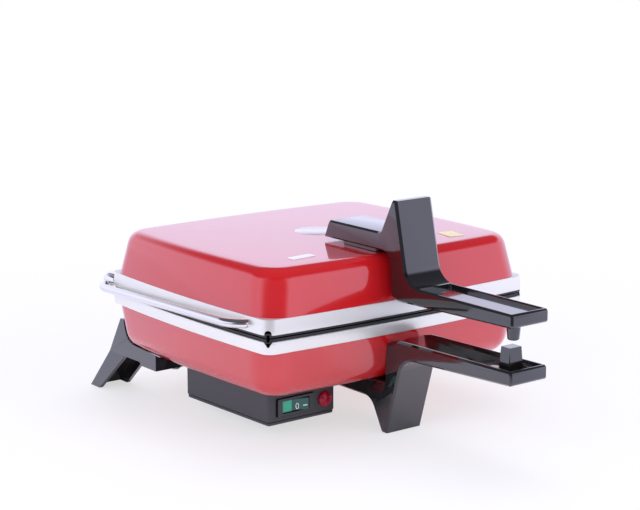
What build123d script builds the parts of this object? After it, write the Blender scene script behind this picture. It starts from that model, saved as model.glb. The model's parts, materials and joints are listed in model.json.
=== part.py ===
from build123d import *
import os

# Sandwich maker: two ribbed plates in pressed shells, joined at the back by a wire bail.
# Millimetres, +X to the right, -Y to the front, +Z up, origin on the table under the body's centre.

# Body: plan half sizes at the corners, bow of the edges, corner radii, sheet and clearances
body_half_width = 109.3
body_half_depth = 93.3
side_bow = 3.65
front_bow = 4.0
body_corner_radius = 18.3
band_corner_radius = 6.5
sheet = 1.2
part_gap = 0.3
thin_gap = 0.1
running_gap = 0.06

# Heights: pan above the table, pan, bands, gap between the bands and lid
ground_clearance = 34.85
pan_depth = 32.95
base_band_height = 8.37
band_flare = 0.94
split_gap = 4.26
lid_band_height = 9.8
lid_height = 29.77
pan_draft = 4.1
pan_rounding = 15.5
lid_draft = 5.6
lid_rounding = 9.3

pan_rim_z = ground_clearance + pan_depth
base_band_top_z = pan_rim_z + base_band_height
split_z = base_band_top_z + split_gap / 2
lid_band_bottom_z = split_z + split_gap / 2
lid_rim_z = lid_band_bottom_z + lid_band_height
lid_top_z = lid_rim_z + lid_height
body_front_y = -body_half_depth - front_bow

# Bands: inward flange, and the notches at the two front corners, a slot above and a tapered one below
flange_thickness = 1.0
flange_width = 6.7
notch_width = 4.6
lid_notch_height = 3.1
base_notch_width = 5.7
base_notch_height = 3.6
base_notch_tip_radius = 1.1

# Cooking plates
plate_rim_gap = 0.9
plate_lip_thickness = 2.7
plate_wall = 3.2
plate_floor_depth = 8.0
plate_floor_thickness = 4.0
channel_width = 9.0
channel_depth = 1.4
rib_pitch = 9.0
rib_count = 17
rib_width = 3.6
rib_height = 3.0
rib_draft = 14.0
spout_reach = 1.2
spout_wall = 0.9
spout_gap = 0.4

# Bosses behind each plate: four stepped ones that carry the reflector, and a central one
boss_spacing_x = 116.0
boss_spacing_y = 84.0
boss_radius = 6.0
boss_tip_radius = 4.0
boss_shoulder = 14.0
screw_radius = 2.0
screw_head_radius = 3.8
screw_head_height = 2.4
screw_grip = 12.0

# Heating element, its clips, reflector, thermostat and thermal fuse
heater_radius = 3.3
heater_half_width = 44.0
heater_half_length = 54.0
heater_bend = 20.0
heater_end_gap = 24.0
heater_tail = 16.0
clip_thickness = 0.8
clip_width = 8.0
clip_foot = 6.0
reflector_inset = 15.0
reflector_sheet = 0.8
reflector_lip = 5.0
thermostat_radius = 8.0
thermostat_height = 7.0
thermostat_flange = 12.0
tab_width = 6.3
tab_thickness = 0.8
tab_length = 5.0
fuse_radius = 2.2
fuse_length = 14.0

# Bail: wire, front pins with their double bend, side arms and the bar at the back that is the hinge
wire_radius = 2.75
bar_reach = 12.7
bar_z = split_z
pin_setback = 18.3
pin_rise = 7.3
pin_depth = 5.3
arm_front_reach = 12.2
arm_rear_reach = 6.5
pin_bend_reach = 4.2
pin_bend_radius = 5.0
arm_bend_run = 7.5
arm_bend_radius = 18.0
rear_bend_radius = 18.0

bar_y = body_half_depth + bar_reach
pin_y = pin_setback - body_half_depth
pin_z = split_z + pin_rise
pin_inner_x = body_half_width - pin_depth
pin_bend_x = body_half_width + pin_bend_reach
arm_front_x = body_half_width + arm_front_reach
arm_rear_x = body_half_width + arm_rear_reach

# Hinge lugs on the base and hoods on the lid
lug_center_x = 44.0
lug_width = 24.0
lug_wall = 1.6
lug_web = 3.2
hood_width = 25.5
hood_overhang = 5.0
hood_rise = 8.6
hood_rounding = 5.2
hood_corner_radius = 9.0
hood_lap = 9.3

hood_outer_x = body_half_width
hood_inner_x = hood_outer_x - hood_width
hood_back_y = bar_y + hood_overhang
hood_front_y = body_half_depth - hood_lap
hood_top_z = split_z + hood_rise

# Handles: width, bevel of the long edges, reach in front of the body, tray walls
handle_width = 31.0
handle_bevel = 1.3
handle_reach = 114.7
grip_rim = 2.2
tray_corner = 1.6

handle_front_y = body_front_y - handle_reach
tray_front_y = handle_front_y + grip_rim

# Upper handle: spacer on the lid, arm, upright fin, heel and grip
spacer_height = 2.3
spacer_half_width = 13.0
spacer_setback = 15.3
spacer_length = 36.0
arm_setback = 68.9
arm_height = 12.1
arm_end_slope = 5.4
fin_gap = 1.8
fin_thickness = 4.2
fin_root_setback = 9.3
fin_rounding = 5.0
heel_gap = 2.5
heel_rounding = 9.0
grip_rim_rise = 24.5
grip_rear_depth = 11.4
grip_front_depth = 8.8
grip_root_reach = 17.8
grip_root_rounding = 15.0
tray_depth = 5.0
tray_reach = 27.7
handle_screw_setback = 33.3
handle_screw_pitch = 20.0

arm_under_z = lid_top_z + spacer_height
arm_top_z = arm_under_z + arm_height
arm_inner_y = body_front_y + arm_setback
fin_root_y = body_front_y + fin_root_setback
fin_back_y = body_front_y - fin_gap
fin_front_y = fin_back_y - fin_thickness
fin_top_z = 2 * split_z
heel_y = body_front_y - heel_gap
grip_root_y = body_front_y - grip_root_reach
grip_rim_z = split_z + grip_rim_rise
grip_end_z = grip_rim_z - grip_front_depth
heel_z = grip_rim_z - grip_rear_depth
tray_back_y = body_front_y - tray_reach

# Peg under the upper grip and block on the lower grip
peg_setback = 14.5
peg_radius = 4.7
peg_length = 11.0
peg_draft = 5.5
peg_stem_radius = 2.0
peg_stem_length = 3.0
block_width = 12.0
block_length = 10.0
block_draft = 4.0
block_gap = 4.4
block_rounding = 1.0

peg_y = handle_front_y + peg_setback
peg_seat_z = heel_z + (grip_end_z - heel_z) * (heel_y - peg_y) / (heel_y - handle_front_y)
peg_tip_z = peg_seat_z - peg_length

# Lower handle with its hollow front leg and the arm under the pan
lower_rim_drop = 12.9
lower_front_rise = 2.1
lower_front_depth = 9.2
lower_floor_drop = 16.8
lower_start_gap = 10.1
leg_foot_setback = 1.9
leg_foot_depth = 4.7
leg_knee_reach = 13.7
leg_knee_drop = 24.6
leg_knee_rounding = 14.0
leg_arm_height = 13.4
leg_arm_setback = 56.3
leg_root_setback = 18.3
leg_root_rounding = 12.0
leg_top_setback = 3.5
base_screw_setback = 37.3
base_screw_pitch = 20.0

lower_rear_rim_z = split_z - lower_rim_drop
lower_front_rim_z = lower_rear_rim_z + lower_front_rise
lower_floor_z = split_z - lower_floor_drop
lower_start_y = body_front_y - lower_start_gap
leg_foot_y = body_front_y + leg_foot_setback
leg_knee_y = body_front_y - leg_knee_reach
leg_knee_z = split_z - leg_knee_drop
leg_top_y = body_front_y + leg_top_setback
leg_root_y = body_front_y + leg_root_setback
leg_arm_end_y = body_front_y + leg_arm_setback
leg_arm_under_z = ground_clearance - leg_arm_height

# Rear legs, given for the left one: insets from the body's side and places before or behind its back
rear_arm_outset = 5.3
rear_arm_inset = 29.3
rear_arm_reach = 47.3
rear_pad_length = 19.0
rear_pad_height = 8.65
rear_arm_height = 6.35
rear_tip_setback = 1.5
rear_tip_height = 20.35
rear_foot_width = 25.9
rear_foot_reach = 21.2
rear_foot_length = 12.1
rear_leg_setback = 6.3
rear_leg_length = 20.5
rear_leg_wall = 3.0
leg_screw_inset = 24.3
leg_screw_setbacks = (42.8, 33.3)

rear_arm_outer_x = body_half_width - rear_arm_outset
rear_arm_inner_x = body_half_width - rear_arm_inset
rear_arm_front_y = body_half_depth - rear_arm_reach
rear_pad_end_y = rear_arm_front_y + rear_pad_length
rear_tip_y = body_half_depth - rear_tip_setback
rear_foot_inner_x = body_half_width - rear_foot_width
rear_foot_front_y = body_half_depth + rear_foot_reach
rear_foot_back_y = rear_foot_front_y + rear_foot_length
rear_leg_front_y = body_half_depth - rear_leg_setback
rear_leg_back_y = rear_leg_front_y + rear_leg_length

# Switch box under the pan, with its cover
box_front_setback = 34.3
box_length = 86.0
box_side_inset = 24.8
box_back_inset = 21.3
box_right_inset = 77.3
box_height = 24.55
box_wall = 2.4
box_corner = 1.6
cover_thickness = 2.5
cover_inset = 1.5
cover_bevel = 0.6
cover_post_radius = 3.0
cover_post_wall = 1.2
cover_screw_radius = 1.7
cover_head_radius = 3.5
cover_screw_grip = 6.0

box_front_y = box_front_setback - body_half_depth
box_back_y = box_front_y + box_length
box_front_left_x = box_side_inset - body_half_width
box_back_left_x = box_back_inset - body_half_width
box_right_x = box_right_inset - body_half_width
box_bottom_z = ground_clearance - box_height
box_rim_z = box_bottom_z + cover_thickness

# Rocker switch and lamp on the front of the box
switch_inset = 21.6
switch_rise = 9.9
bezel_width = 30.3
bezel_height = 12.6
bezel_depth = 1.5
switch_hole_width = 22.2
switch_hole_height = 8.6
switch_body_depth = 13.0
switch_body_wall = 1.2
rocker_half_length = 10.2
rocker_height = 7.9
rocker_tilt = 7.0
rocker_pivot_depth = 4.0
rocker_front = 5.9
rocker_dip = 1.3
rocker_side = 1.4
rocker_tail = 2.6
lamp_inset = 6.4
lamp_rise_z = 9.6
lamp_radius = 5.0
lamp_facets = 8
lamp_rise = 3.4
lamp_stem_radius = 3.2
lamp_holder_length = 14.0
lamp_holder_radius = 3.4

switch_x = box_front_left_x + switch_inset
switch_z = box_bottom_z + switch_rise
lamp_x = box_right_x - lamp_inset
lamp_z = box_bottom_z + lamp_rise_z

# Terminal block and cord gland at the back of the box
terminal_length = 28.0
terminal_width = 14.0
terminal_height = 12.0
terminal_setback = 25.0
terminal_poles = 3
gland_radius = 6.5
gland_flange = 8.5
gland_bore = 3.6
gland_reach = 5.0
gland_flange_thickness = 2.0

gland_x = (box_back_left_x + box_right_x) / 2
gland_z = (box_rim_z + ground_clearance) / 2
terminal_y = box_back_y - terminal_setback

# Disc let into the lid and the screw that it covers
disc_radius = 17.0
disc_thickness = 1.4
centre_head_height = 0.8

# Fasteners of handles and legs
nut_height = 3.2
nut_radius = 4.0

handle_screw_ys = [body_front_y + handle_screw_setback + shift * handle_screw_pitch / 2 for shift in (-1, 1)]
base_screw_ys = [body_front_y + base_screw_setback + shift * base_screw_pitch / 2 for shift in (-1, 1)]
leg_screw_x = body_half_width - leg_screw_inset
leg_screw_ys = [body_half_depth - setback for setback in leg_screw_setbacks]


def body_outline(height, inset=0.0, corner=None):
    """Bowed rectangle with round corners, drawn in by the inset from the bands' narrow edge."""
    half_x = body_half_width - inset
    half_y = body_half_depth - inset
    with BuildSketch(Plane.XY.offset(height)) as outline:
        with BuildLine():
            ThreePointArc((-half_x, -half_y), (0, -half_y - front_bow), (half_x, -half_y))
            ThreePointArc((half_x, -half_y), (half_x + side_bow, 0), (half_x, half_y))
            ThreePointArc((half_x, half_y), (0, half_y + front_bow), (-half_x, half_y))
            ThreePointArc((-half_x, half_y), (-half_x - side_bow, 0), (-half_x, -half_y))
        make_face()
        fillet(outline.vertices(), corner if corner else body_corner_radius - inset)
    return outline.sketch


def band_outline(height, inset=0.0):
    """Outline with the bands' tighter corners."""
    return body_outline(height, inset, band_corner_radius - inset)


def pressed_form(open_z, closed_z, inset, draft, rounding, corner):
    """Drafted closed form of a pan or lid, rounded at its closed end."""
    with BuildPart() as form:
        loft([body_outline(open_z, inset, corner), body_outline(closed_z, inset + draft, corner)], ruled=True)
        closed_face = form.faces().filter_by(Axis.Z).sort_by_distance((0, 0, closed_z))[0]
        fillet(closed_face.edges(), rounding)
    return form.part


def pressed_shell(open_z, closed_z, draft, rounding, clearance=0.0):
    """Pan or lid pressed from sheet, or its outer form grown by a clearance."""
    side = 1 if closed_z > open_z else -1
    outer = pressed_form(open_z, closed_z + side * clearance, thin_gap - clearance, draft,
                         rounding, body_corner_radius)
    inner = pressed_form(open_z, closed_z - side * sheet, thin_gap + sheet, draft,
                         rounding - sheet, body_corner_radius - sheet)
    return outer, inner


def corner_plane(side, height):
    """Plane across the diagonal of a front corner of the bands, its normal pointing out of the body."""
    center_x = body_half_width - band_corner_radius
    center_y = body_half_depth - band_corner_radius
    return Plane(origin=(side * center_x, -center_y, height), x_dir=(1, side, 0), z_dir=(side, -1, 0))


def band_form(edge_z, rim_z, clearance=0.0):
    """Closed flared form of a band, grown by a clearance."""
    with BuildPart() as form:
        loft([band_outline(rim_z, -clearance), band_outline(edge_z, -band_flare - clearance)], ruled=True)
    return form.part


def band_ring(edge_z, rim_z, edge_width, tip_radius, notch_height):
    """Flared band with an inward flange at the rim and a round-ended notch at each front corner."""
    side = 1 if rim_z > edge_z else -1
    tip_z = side * (notch_height - tip_radius)
    with BuildPart() as band:
        add(band_form(edge_z, rim_z))
        loft([band_outline(rim_z - side * flange_thickness, sheet),
              band_outline(edge_z, sheet - band_flare)], ruled=True, mode=Mode.SUBTRACT)
        extrude(body_outline(edge_z, flange_width), amount=rim_z - edge_z, mode=Mode.SUBTRACT)
        for corner_side in (-1, 1):
            with BuildSketch(corner_plane(corner_side, edge_z)):
                with BuildLine():
                    Polyline((-edge_width / 2, 0), (-tip_radius, tip_z), (tip_radius, tip_z),
                             (edge_width / 2, 0), (edge_width / 2, -tip_z), (-edge_width / 2, -tip_z),
                             close=True)
                make_face()
                with Locations((0, tip_z)):
                    Circle(tip_radius)
            extrude(amount=band_corner_radius + base_notch_width, mode=Mode.SUBTRACT)
    return band.part


def cooking_plate(side, back_reach):
    """Ribbed plate facing the split, side +1 for the lid's; its bosses reach to the shell."""
    rim_z = split_z + side * plate_rim_gap / 2
    floor_z = rim_z + side * (plate_floor_depth - plate_rim_gap / 2)
    back_z = floor_z + side * plate_floor_thickness
    lip_inset = sheet - band_flare + part_gap + thin_gap
    body_inset = flange_width + part_gap
    pocket_inset = body_inset + plate_wall
    field_width = 2 * (body_half_width - pocket_inset - channel_width)
    field_depth = 2 * (body_half_depth - pocket_inset - channel_width)
    spout_width = notch_width - 2 * spout_gap
    spout_start = (body_corner_radius - band_corner_radius) * 2 ** 0.5
    with BuildPart() as plate:
        extrude(band_outline(rim_z, lip_inset), amount=side * plate_lip_thickness)
        extrude(body_outline(rim_z, body_inset), amount=back_z - rim_z)
        extrude(body_outline(rim_z, pocket_inset), amount=floor_z - rim_z, mode=Mode.SUBTRACT)
        with BuildSketch(Plane.XY.offset(floor_z)):
            add(body_outline(0, pocket_inset))
            RectangleRounded(field_width, field_depth, rib_pitch / 2, mode=Mode.SUBTRACT)
        extrude(amount=side * channel_depth, mode=Mode.SUBTRACT)
        with BuildSketch(Plane.XY.offset(floor_z)):
            with GridLocations(rib_pitch, 0, rib_count, 1):
                Rectangle(rib_width, field_depth - rib_width)
        extrude(amount=-side * rib_height, taper=rib_draft)
        for corner_side in (-1, 1):
            with BuildSketch(corner_plane(corner_side, rim_z)):
                Rectangle(spout_width, 2 * plate_lip_thickness)
            extrude(amount=band_corner_radius - lip_inset + spout_reach)
            with BuildSketch(corner_plane(corner_side, rim_z).offset(-spout_start)):
                Rectangle(spout_width - 2 * spout_wall, 2 * (plate_lip_thickness - spout_wall))
            extrude(amount=spout_start + band_corner_radius + base_notch_width, mode=Mode.SUBTRACT)
        with BuildSketch(Plane.XY.offset(rim_z)):
            Rectangle(3 * body_half_width, 3 * body_half_depth)
        extrude(amount=-side * plate_lip_thickness, mode=Mode.SUBTRACT)
        with BuildSketch(Plane.XY.offset(back_z)):
            with GridLocations(boss_spacing_x, boss_spacing_y, 2, 2):
                Circle(boss_radius)
        extrude(amount=side * boss_shoulder)
        with BuildSketch(Plane.XY.offset(back_z)):
            with GridLocations(boss_spacing_x, boss_spacing_y, 2, 2):
                Circle(boss_tip_radius)
            Circle(boss_tip_radius)
        extrude(amount=side * back_reach)
        with BuildSketch(Plane.XY.offset(back_z + side * back_reach)):
            with GridLocations(boss_spacing_x, boss_spacing_y, 2, 2):
                Circle(screw_radius + running_gap)
            Circle(screw_radius + running_gap)
        extrude(amount=-side * (screw_grip + running_gap), mode=Mode.SUBTRACT)
    return plate.part


def heater_path(height):
    """Centre line of the heating element: a round-cornered loop whose two tails run to the back."""
    with BuildLine(Plane.XY.offset(height)) as path:
        FilletPolyline(
            (-heater_end_gap / 2, heater_half_length + heater_tail),
            (-heater_end_gap / 2, heater_half_length - heater_bend),
            (-heater_half_width, heater_half_length - heater_bend),
            (-heater_half_width, -heater_half_length),
            (heater_half_width, -heater_half_length),
            (heater_half_width, heater_half_length - heater_bend),
            (heater_end_gap / 2, heater_half_length - heater_bend),
            (heater_end_gap / 2, heater_half_length + heater_tail),
            radius=heater_end_gap / 2 - thin_gap,
        )
    return path.line


def heater_tube(side, back_z):
    """Tubular element laid against the back of its plate."""
    height = back_z + side * (heater_radius + thin_gap)
    path = heater_path(height)
    with BuildPart() as heater:
        with BuildSketch(Plane(origin=path @ 0, z_dir=path % 0)):
            Circle(heater_radius)
        sweep(path=path)
    return heater.part


def heater_clip_set(side, back_z):
    """Saddles that hold the element to the plate, with a foot on each side of the tube."""
    outer = heater_radius + part_gap + clip_thickness
    inner = heater_radius + part_gap
    foot = outer + clip_foot
    with BuildPart() as clips:
        for x in (-heater_half_width, heater_half_width):
            with BuildSketch(Plane(origin=(x, -clip_width / 2, back_z), x_dir=(1, 0, 0), z_dir=(0, 1, 0))):
                with Locations((0, -side * outer)):
                    Rectangle(2 * outer, 2 * outer)
                with Locations((0, -side * clip_thickness / 2)):
                    Rectangle(2 * foot, clip_thickness)
                with Locations((0, -side * inner)):
                    Rectangle(2 * inner, 2 * inner, mode=Mode.SUBTRACT)
            extrude(amount=clip_width)
    return clips.part


def reflector_tray(side, back_z):
    """Sheet tray on the shoulders of the bosses, its lip turned towards the plate."""
    seat_z = back_z + side * boss_shoulder
    with BuildPart() as tray:
        extrude(body_outline(seat_z, reflector_inset), amount=side * reflector_sheet)
        extrude(body_outline(seat_z, reflector_inset), amount=-side * reflector_lip)
        extrude(body_outline(seat_z, reflector_inset + reflector_sheet), amount=-side * reflector_lip,
                mode=Mode.SUBTRACT)
        with BuildSketch(Plane.XY.offset(seat_z)):
            with GridLocations(boss_spacing_x, boss_spacing_y, 2, 2):
                Circle(boss_tip_radius + part_gap)
            Circle(boss_tip_radius + part_gap)
        extrude(amount=side * reflector_sheet, mode=Mode.SUBTRACT)
    return tray.part


def pan_screw(head_z, length, direction):
    """Round-headed screw on the Z axis: the head stands outside, the shank runs in."""
    with BuildPart() as screw:
        with BuildSketch(Plane.XY.offset(head_z)):
            Circle(screw_head_radius)
        extrude(amount=-direction * screw_head_height)
        outer_face = screw.faces().filter_by(Axis.Z).sort_by(Axis.Z)[0 if direction > 0 else -1]
        fillet(outer_face.edges(), screw_head_height / 2)
        with BuildSketch(Plane.XY.offset(head_z)):
            Circle(screw_radius)
        extrude(amount=direction * length)
    return screw.part


def handle_solid(points, roundings):
    """Side profile in Y and Z, rounded at the given corners, as wide as a handle, its side edges bevelled."""
    with BuildPart() as solid:
        with BuildSketch(Plane.YZ) as profile:
            with BuildLine():
                Polyline(*points, close=True)
            make_face()
            for corner, radius in roundings:
                fillet(profile.vertices().sort_by_distance(corner)[0], radius)
        extrude(amount=handle_width / 2, both=True)
        chamfer(solid.faces().filter_by(Axis.X).edges(), handle_bevel)
    return solid.part


def write(part, name):
    """Label a finished piece and write it under its name."""
    part.label = name
    export_step(part, f"parts/{name}.step")


os.makedirs("parts", exist_ok=True)

# Backs of the plates and how far their bosses reach to the shells
base_plate_back_z = split_z - plate_floor_depth - plate_floor_thickness
lid_plate_back_z = split_z + plate_floor_depth + plate_floor_thickness
base_boss_reach = base_plate_back_z - (ground_clearance + sheet)
lid_boss_reach = (lid_top_z - sheet) - lid_plate_back_z

pan_outer, pan_inner = pressed_shell(pan_rim_z, ground_clearance, pan_draft, pan_rounding)
pan_grown, _ = pressed_shell(pan_rim_z, ground_clearance, pan_draft, pan_rounding, part_gap)
lid_outer, lid_inner = pressed_shell(lid_rim_z, lid_top_z, lid_draft, lid_rounding)

# Base pan with the holes of its fasteners
with BuildPart() as base_shell:
    add(pan_outer)
    add(pan_inner, mode=Mode.SUBTRACT)
    with BuildSketch(Plane.XY.offset(ground_clearance)):
        with GridLocations(boss_spacing_x, boss_spacing_y, 2, 2):
            Circle(screw_radius + thin_gap)
        for y in base_screw_ys:
            with Locations((0, y)):
                Circle(screw_radius + thin_gap)
        for y in leg_screw_ys:
            with Locations((-leg_screw_x, y), (leg_screw_x, y)):
                Circle(screw_radius + thin_gap)
    extrude(amount=sheet, mode=Mode.SUBTRACT)
write(base_shell.part, "base_shell")

# Chrome band round the base
with BuildPart() as base_band:
    add(band_ring(base_band_top_z, pan_rim_z, base_notch_width, base_notch_tip_radius, base_notch_height))
write(base_band.part, "base_band")

# Lower cooking plate
with BuildPart() as base_plate:
    add(cooking_plate(-1, base_boss_reach))
write(base_plate.part, "base_plate")

# Heating element, clips and reflector behind the lower plate
with BuildPart() as base_heater:
    add(heater_tube(-1, base_plate_back_z))
write(base_heater.part, "base_heater")

with BuildPart() as base_heater_clips:
    add(heater_clip_set(-1, base_plate_back_z))
write(base_heater_clips.part, "base_heater_clips")

with BuildPart() as base_reflector:
    add(reflector_tray(-1, base_plate_back_z))
write(base_reflector.part, "base_reflector")

# Thermostat against the back of the lower plate, with its two tabs
with BuildPart() as thermostat:
    with BuildSketch(Plane.XY.offset(base_plate_back_z)):
        with Locations((0, -heater_end_gap)):
            Circle(thermostat_flange)
    extrude(amount=-tab_thickness)
    with BuildSketch(Plane.XY.offset(base_plate_back_z)):
        with Locations((0, -heater_end_gap)):
            Circle(thermostat_radius)
    extrude(amount=-thermostat_height)
    with BuildSketch(Plane.XY.offset(base_plate_back_z - thermostat_height)):
        with Locations((0, -heater_end_gap)):
            with GridLocations(thermostat_radius, 0, 2, 1):
                Rectangle(tab_thickness, tab_width)
    extrude(amount=-tab_length)
write(thermostat.part, "thermostat")

# Screws that pull the pan to the four outer bosses
with BuildPart() as plate_screws:
    screw = pan_screw(ground_clearance, sheet + screw_grip - part_gap, 1)
    with GridLocations(boss_spacing_x, boss_spacing_y, 2, 2):
        add(screw)
write(plate_screws.part, "plate_screws")

# Lower handle: grip with its tray, front leg, arm under the pan and the block for the peg
with BuildPart() as base_handle:
    add(handle_solid(
        [
            (leg_top_y, lower_floor_z),
            (body_front_y - grip_rim, lower_floor_z),
            (lower_start_y, lower_rear_rim_z),
            (handle_front_y, lower_front_rim_z),
            (handle_front_y, lower_front_rim_z - lower_front_depth),
            (leg_knee_y, leg_knee_z),
            (leg_foot_y, 0),
            (leg_foot_y + leg_foot_depth, 0),
            (leg_root_y, leg_arm_under_z),
            (leg_arm_end_y, leg_arm_under_z),
            (leg_arm_end_y, ground_clearance),
            (leg_top_y, ground_clearance),
        ],
        [
            ((handle_front_y, lower_front_rim_z), grip_rim),
            ((handle_front_y, lower_front_rim_z - lower_front_depth), grip_rim),
            ((leg_knee_y, leg_knee_z), leg_knee_rounding),
            ((leg_root_y, leg_arm_under_z), leg_root_rounding),
        ],
    ))
    add(pan_grown, mode=Mode.SUBTRACT)
    with BuildSketch(Plane.XY.offset(lower_floor_z)) as tray:
        tray_length = body_front_y - tray_front_y
        with Locations((0, tray_front_y + tray_length)):
            Rectangle(handle_width - 2 * grip_rim, 2 * tray_length)
        fillet(tray.vertices(), tray_corner)
    extrude(amount=lower_rim_drop, mode=Mode.SUBTRACT)
    with BuildSketch(Plane.XY.offset(lower_floor_z)):
        with Locations((0, peg_y + tray_corner)):
            RectangleRounded(block_width, block_length, block_rounding)
    extrude(amount=peg_tip_z - block_gap - lower_floor_z, taper=block_draft)
    with BuildSketch(Plane.XY.offset(leg_arm_under_z)):
        for y in base_screw_ys:
            with Locations((0, y)):
                Circle(screw_radius + thin_gap)
    extrude(amount=leg_arm_height, mode=Mode.SUBTRACT)
    with BuildSketch(Plane.XY.offset(leg_arm_under_z)):
        for y in base_screw_ys:
            with Locations((0, y)):
                Circle(screw_head_radius + part_gap)
    extrude(amount=leg_arm_height / 2, mode=Mode.SUBTRACT)
write(base_handle.part, "base_handle")


def rear_leg(side):
    """Moulded rear leg: pad and arm under the pan, and a splayed channel down to the foot."""
    arm_under_z = ground_clearance - rear_arm_height
    pad_under_z = ground_clearance - rear_pad_height
    tip_z = ground_clearance + rear_tip_height
    arm_x = (rear_arm_outer_x + rear_arm_inner_x) / 2
    arm_width = rear_arm_outer_x - rear_arm_inner_x
    foot_x = (body_half_width + rear_foot_inner_x) / 2
    with BuildPart() as leg:
        with BuildSketch(Plane.YZ.offset(side * rear_arm_inner_x)):
            with BuildLine():
                Polyline(
                    (rear_arm_front_y, pad_under_z),
                    (rear_pad_end_y, pad_under_z),
                    (rear_pad_end_y + rear_pad_height - rear_arm_height, arm_under_z),
                    (rear_leg_back_y, arm_under_z),
                    (rear_tip_y, tip_z),
                    (rear_arm_front_y, tip_z),
                    close=True,
                )
            make_face()
        extrude(amount=side * arm_width)
        with BuildSketch():
            with Locations((side * foot_x, (rear_foot_front_y + rear_foot_back_y) / 2)):
                Rectangle(rear_foot_width, rear_foot_length)
        with BuildSketch(Plane.XY.offset(arm_under_z)):
            with Locations((side * arm_x, (rear_leg_front_y + rear_leg_back_y) / 2)):
                Rectangle(arm_width, rear_leg_length)
        loft()
        with BuildSketch():
            with Locations((side * foot_x, rear_foot_front_y - rear_leg_wall)):
                Rectangle(rear_foot_width - 2 * rear_leg_wall, 2 * rear_foot_length)
        with BuildSketch(Plane.XY.offset(arm_under_z)):
            with Locations((side * arm_x, rear_leg_front_y - rear_leg_wall)):
                Rectangle(arm_width - 2 * rear_leg_wall, 2 * rear_leg_length)
        loft(mode=Mode.SUBTRACT)
        add(pan_grown, mode=Mode.SUBTRACT)
        with BuildSketch(Plane.XY.offset(pad_under_z)):
            for y in leg_screw_ys:
                with Locations((side * leg_screw_x, y)):
                    Circle(screw_radius + thin_gap)
        extrude(amount=rear_pad_height, mode=Mode.SUBTRACT)
    return leg.part


# Rear legs, left and right
with BuildPart() as rear_leg_left:
    add(rear_leg(-1))
write(rear_leg_left.part, "rear_leg_left")

with BuildPart() as rear_leg_right:
    add(rear_leg(1))
write(rear_leg_right.part, "rear_leg_right")


def hinge_lug(side):
    """Knuckle round the bar, its web running forward to the back of the base's band."""
    outer = wire_radius + running_gap + lug_wall
    web_top = base_band_top_z - part_gap
    web_bottom = web_top - lug_web
    with BuildPart() as lug:
        with BuildSketch(Plane.YZ.offset(side * lug_center_x)):
            with Locations((bar_y, bar_z)):
                Circle(outer)
            with BuildLine():
                Polyline(
                    (body_half_depth, web_bottom),
                    (bar_y, bar_z - outer),
                    (bar_y, bar_z),
                    (body_half_depth, web_top),
                    close=True,
                )
            make_face()
            with Locations((bar_y, bar_z)):
                Circle(wire_radius + running_gap, mode=Mode.SUBTRACT)
        extrude(amount=lug_width / 2, both=True)
        extrude(band_outline(pan_rim_z, -band_flare - thin_gap), amount=base_band_height + split_gap,
                mode=Mode.SUBTRACT)
    return lug.part


# Hinge lugs on the back of the base's band
with BuildPart() as hinge_lug_left:
    add(hinge_lug(-1))
write(hinge_lug_left.part, "hinge_lug_left")

with BuildPart() as hinge_lug_right:
    add(hinge_lug(1))
write(hinge_lug_right.part, "hinge_lug_right")


def box_plan(height, inset=0.0):
    """Plan of the switch box: its left side runs out a little towards the back."""
    with BuildSketch(Plane.XY.offset(height)) as plan:
        with BuildLine():
            Polyline(
                (box_front_left_x + inset, box_front_y + inset),
                (box_right_x - inset, box_front_y + inset),
                (box_right_x - inset, box_back_y - inset),
                (box_back_left_x + inset, box_back_y - inset),
                close=True,
            )
        make_face()
        fillet(plan.vertices(), box_corner)
    return plan.sketch


cover_post_places = [
    (box_front_left_x + box_wall + cover_post_radius, box_back_y - box_wall - cover_post_radius),
    (box_right_x - box_wall - cover_post_radius, box_back_y - box_wall - cover_post_radius),
    (box_right_x - box_wall - cover_post_radius,
     box_front_y + box_wall + box_corner + lamp_holder_length + 2 * cover_post_radius),
]

# Switch box: open below for the cover, closed above by the pan
with BuildPart() as switch_box:
    extrude(box_plan(box_rim_z), amount=ground_clearance - box_rim_z - thin_gap)
    extrude(box_plan(box_rim_z, box_wall), amount=ground_clearance - box_rim_z, mode=Mode.SUBTRACT)
    with BuildSketch(Plane.XY.offset(box_rim_z)):
        with Locations(cover_post_places):
            Circle(cover_post_radius + cover_post_wall)
    extrude(amount=ground_clearance - box_rim_z - thin_gap)
    with BuildSketch(Plane.XY.offset(box_rim_z)):
        with Locations(cover_post_places):
            Circle(cover_screw_radius)
    extrude(amount=cover_screw_grip + part_gap, mode=Mode.SUBTRACT)
    with BuildSketch(Plane.XZ.offset(-box_front_y)):
        with Locations((switch_x, switch_z)):
            Rectangle(switch_hole_width + 2 * switch_body_wall + 2 * thin_gap,
                      switch_hole_height + 2 * switch_body_wall + 2 * thin_gap)
        with Locations((lamp_x, lamp_z)):
            Circle(lamp_stem_radius + thin_gap)
    extrude(amount=-(box_wall + box_corner), mode=Mode.SUBTRACT)
    with BuildSketch(Plane.XZ.offset(-box_back_y)):
        with Locations((gland_x, gland_z)):
            Circle(gland_radius + thin_gap)
    extrude(amount=box_wall, mode=Mode.SUBTRACT)
write(switch_box.part, "switch_box")

# Bottom cover of the box, set in a little, with the sinks of its screws
with BuildPart() as switch_box_cover:
    extrude(box_plan(box_bottom_z, cover_inset), amount=cover_thickness)
    chamfer(switch_box_cover.faces().sort_by(Axis.Z)[0].edges(), cover_bevel)
    with BuildSketch(Plane.XY.offset(box_bottom_z)):
        with Locations(cover_post_places):
            Circle(cover_screw_radius + thin_gap)
    extrude(amount=cover_thickness, mode=Mode.SUBTRACT)
write(switch_box_cover.part, "switch_box_cover")

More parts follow.
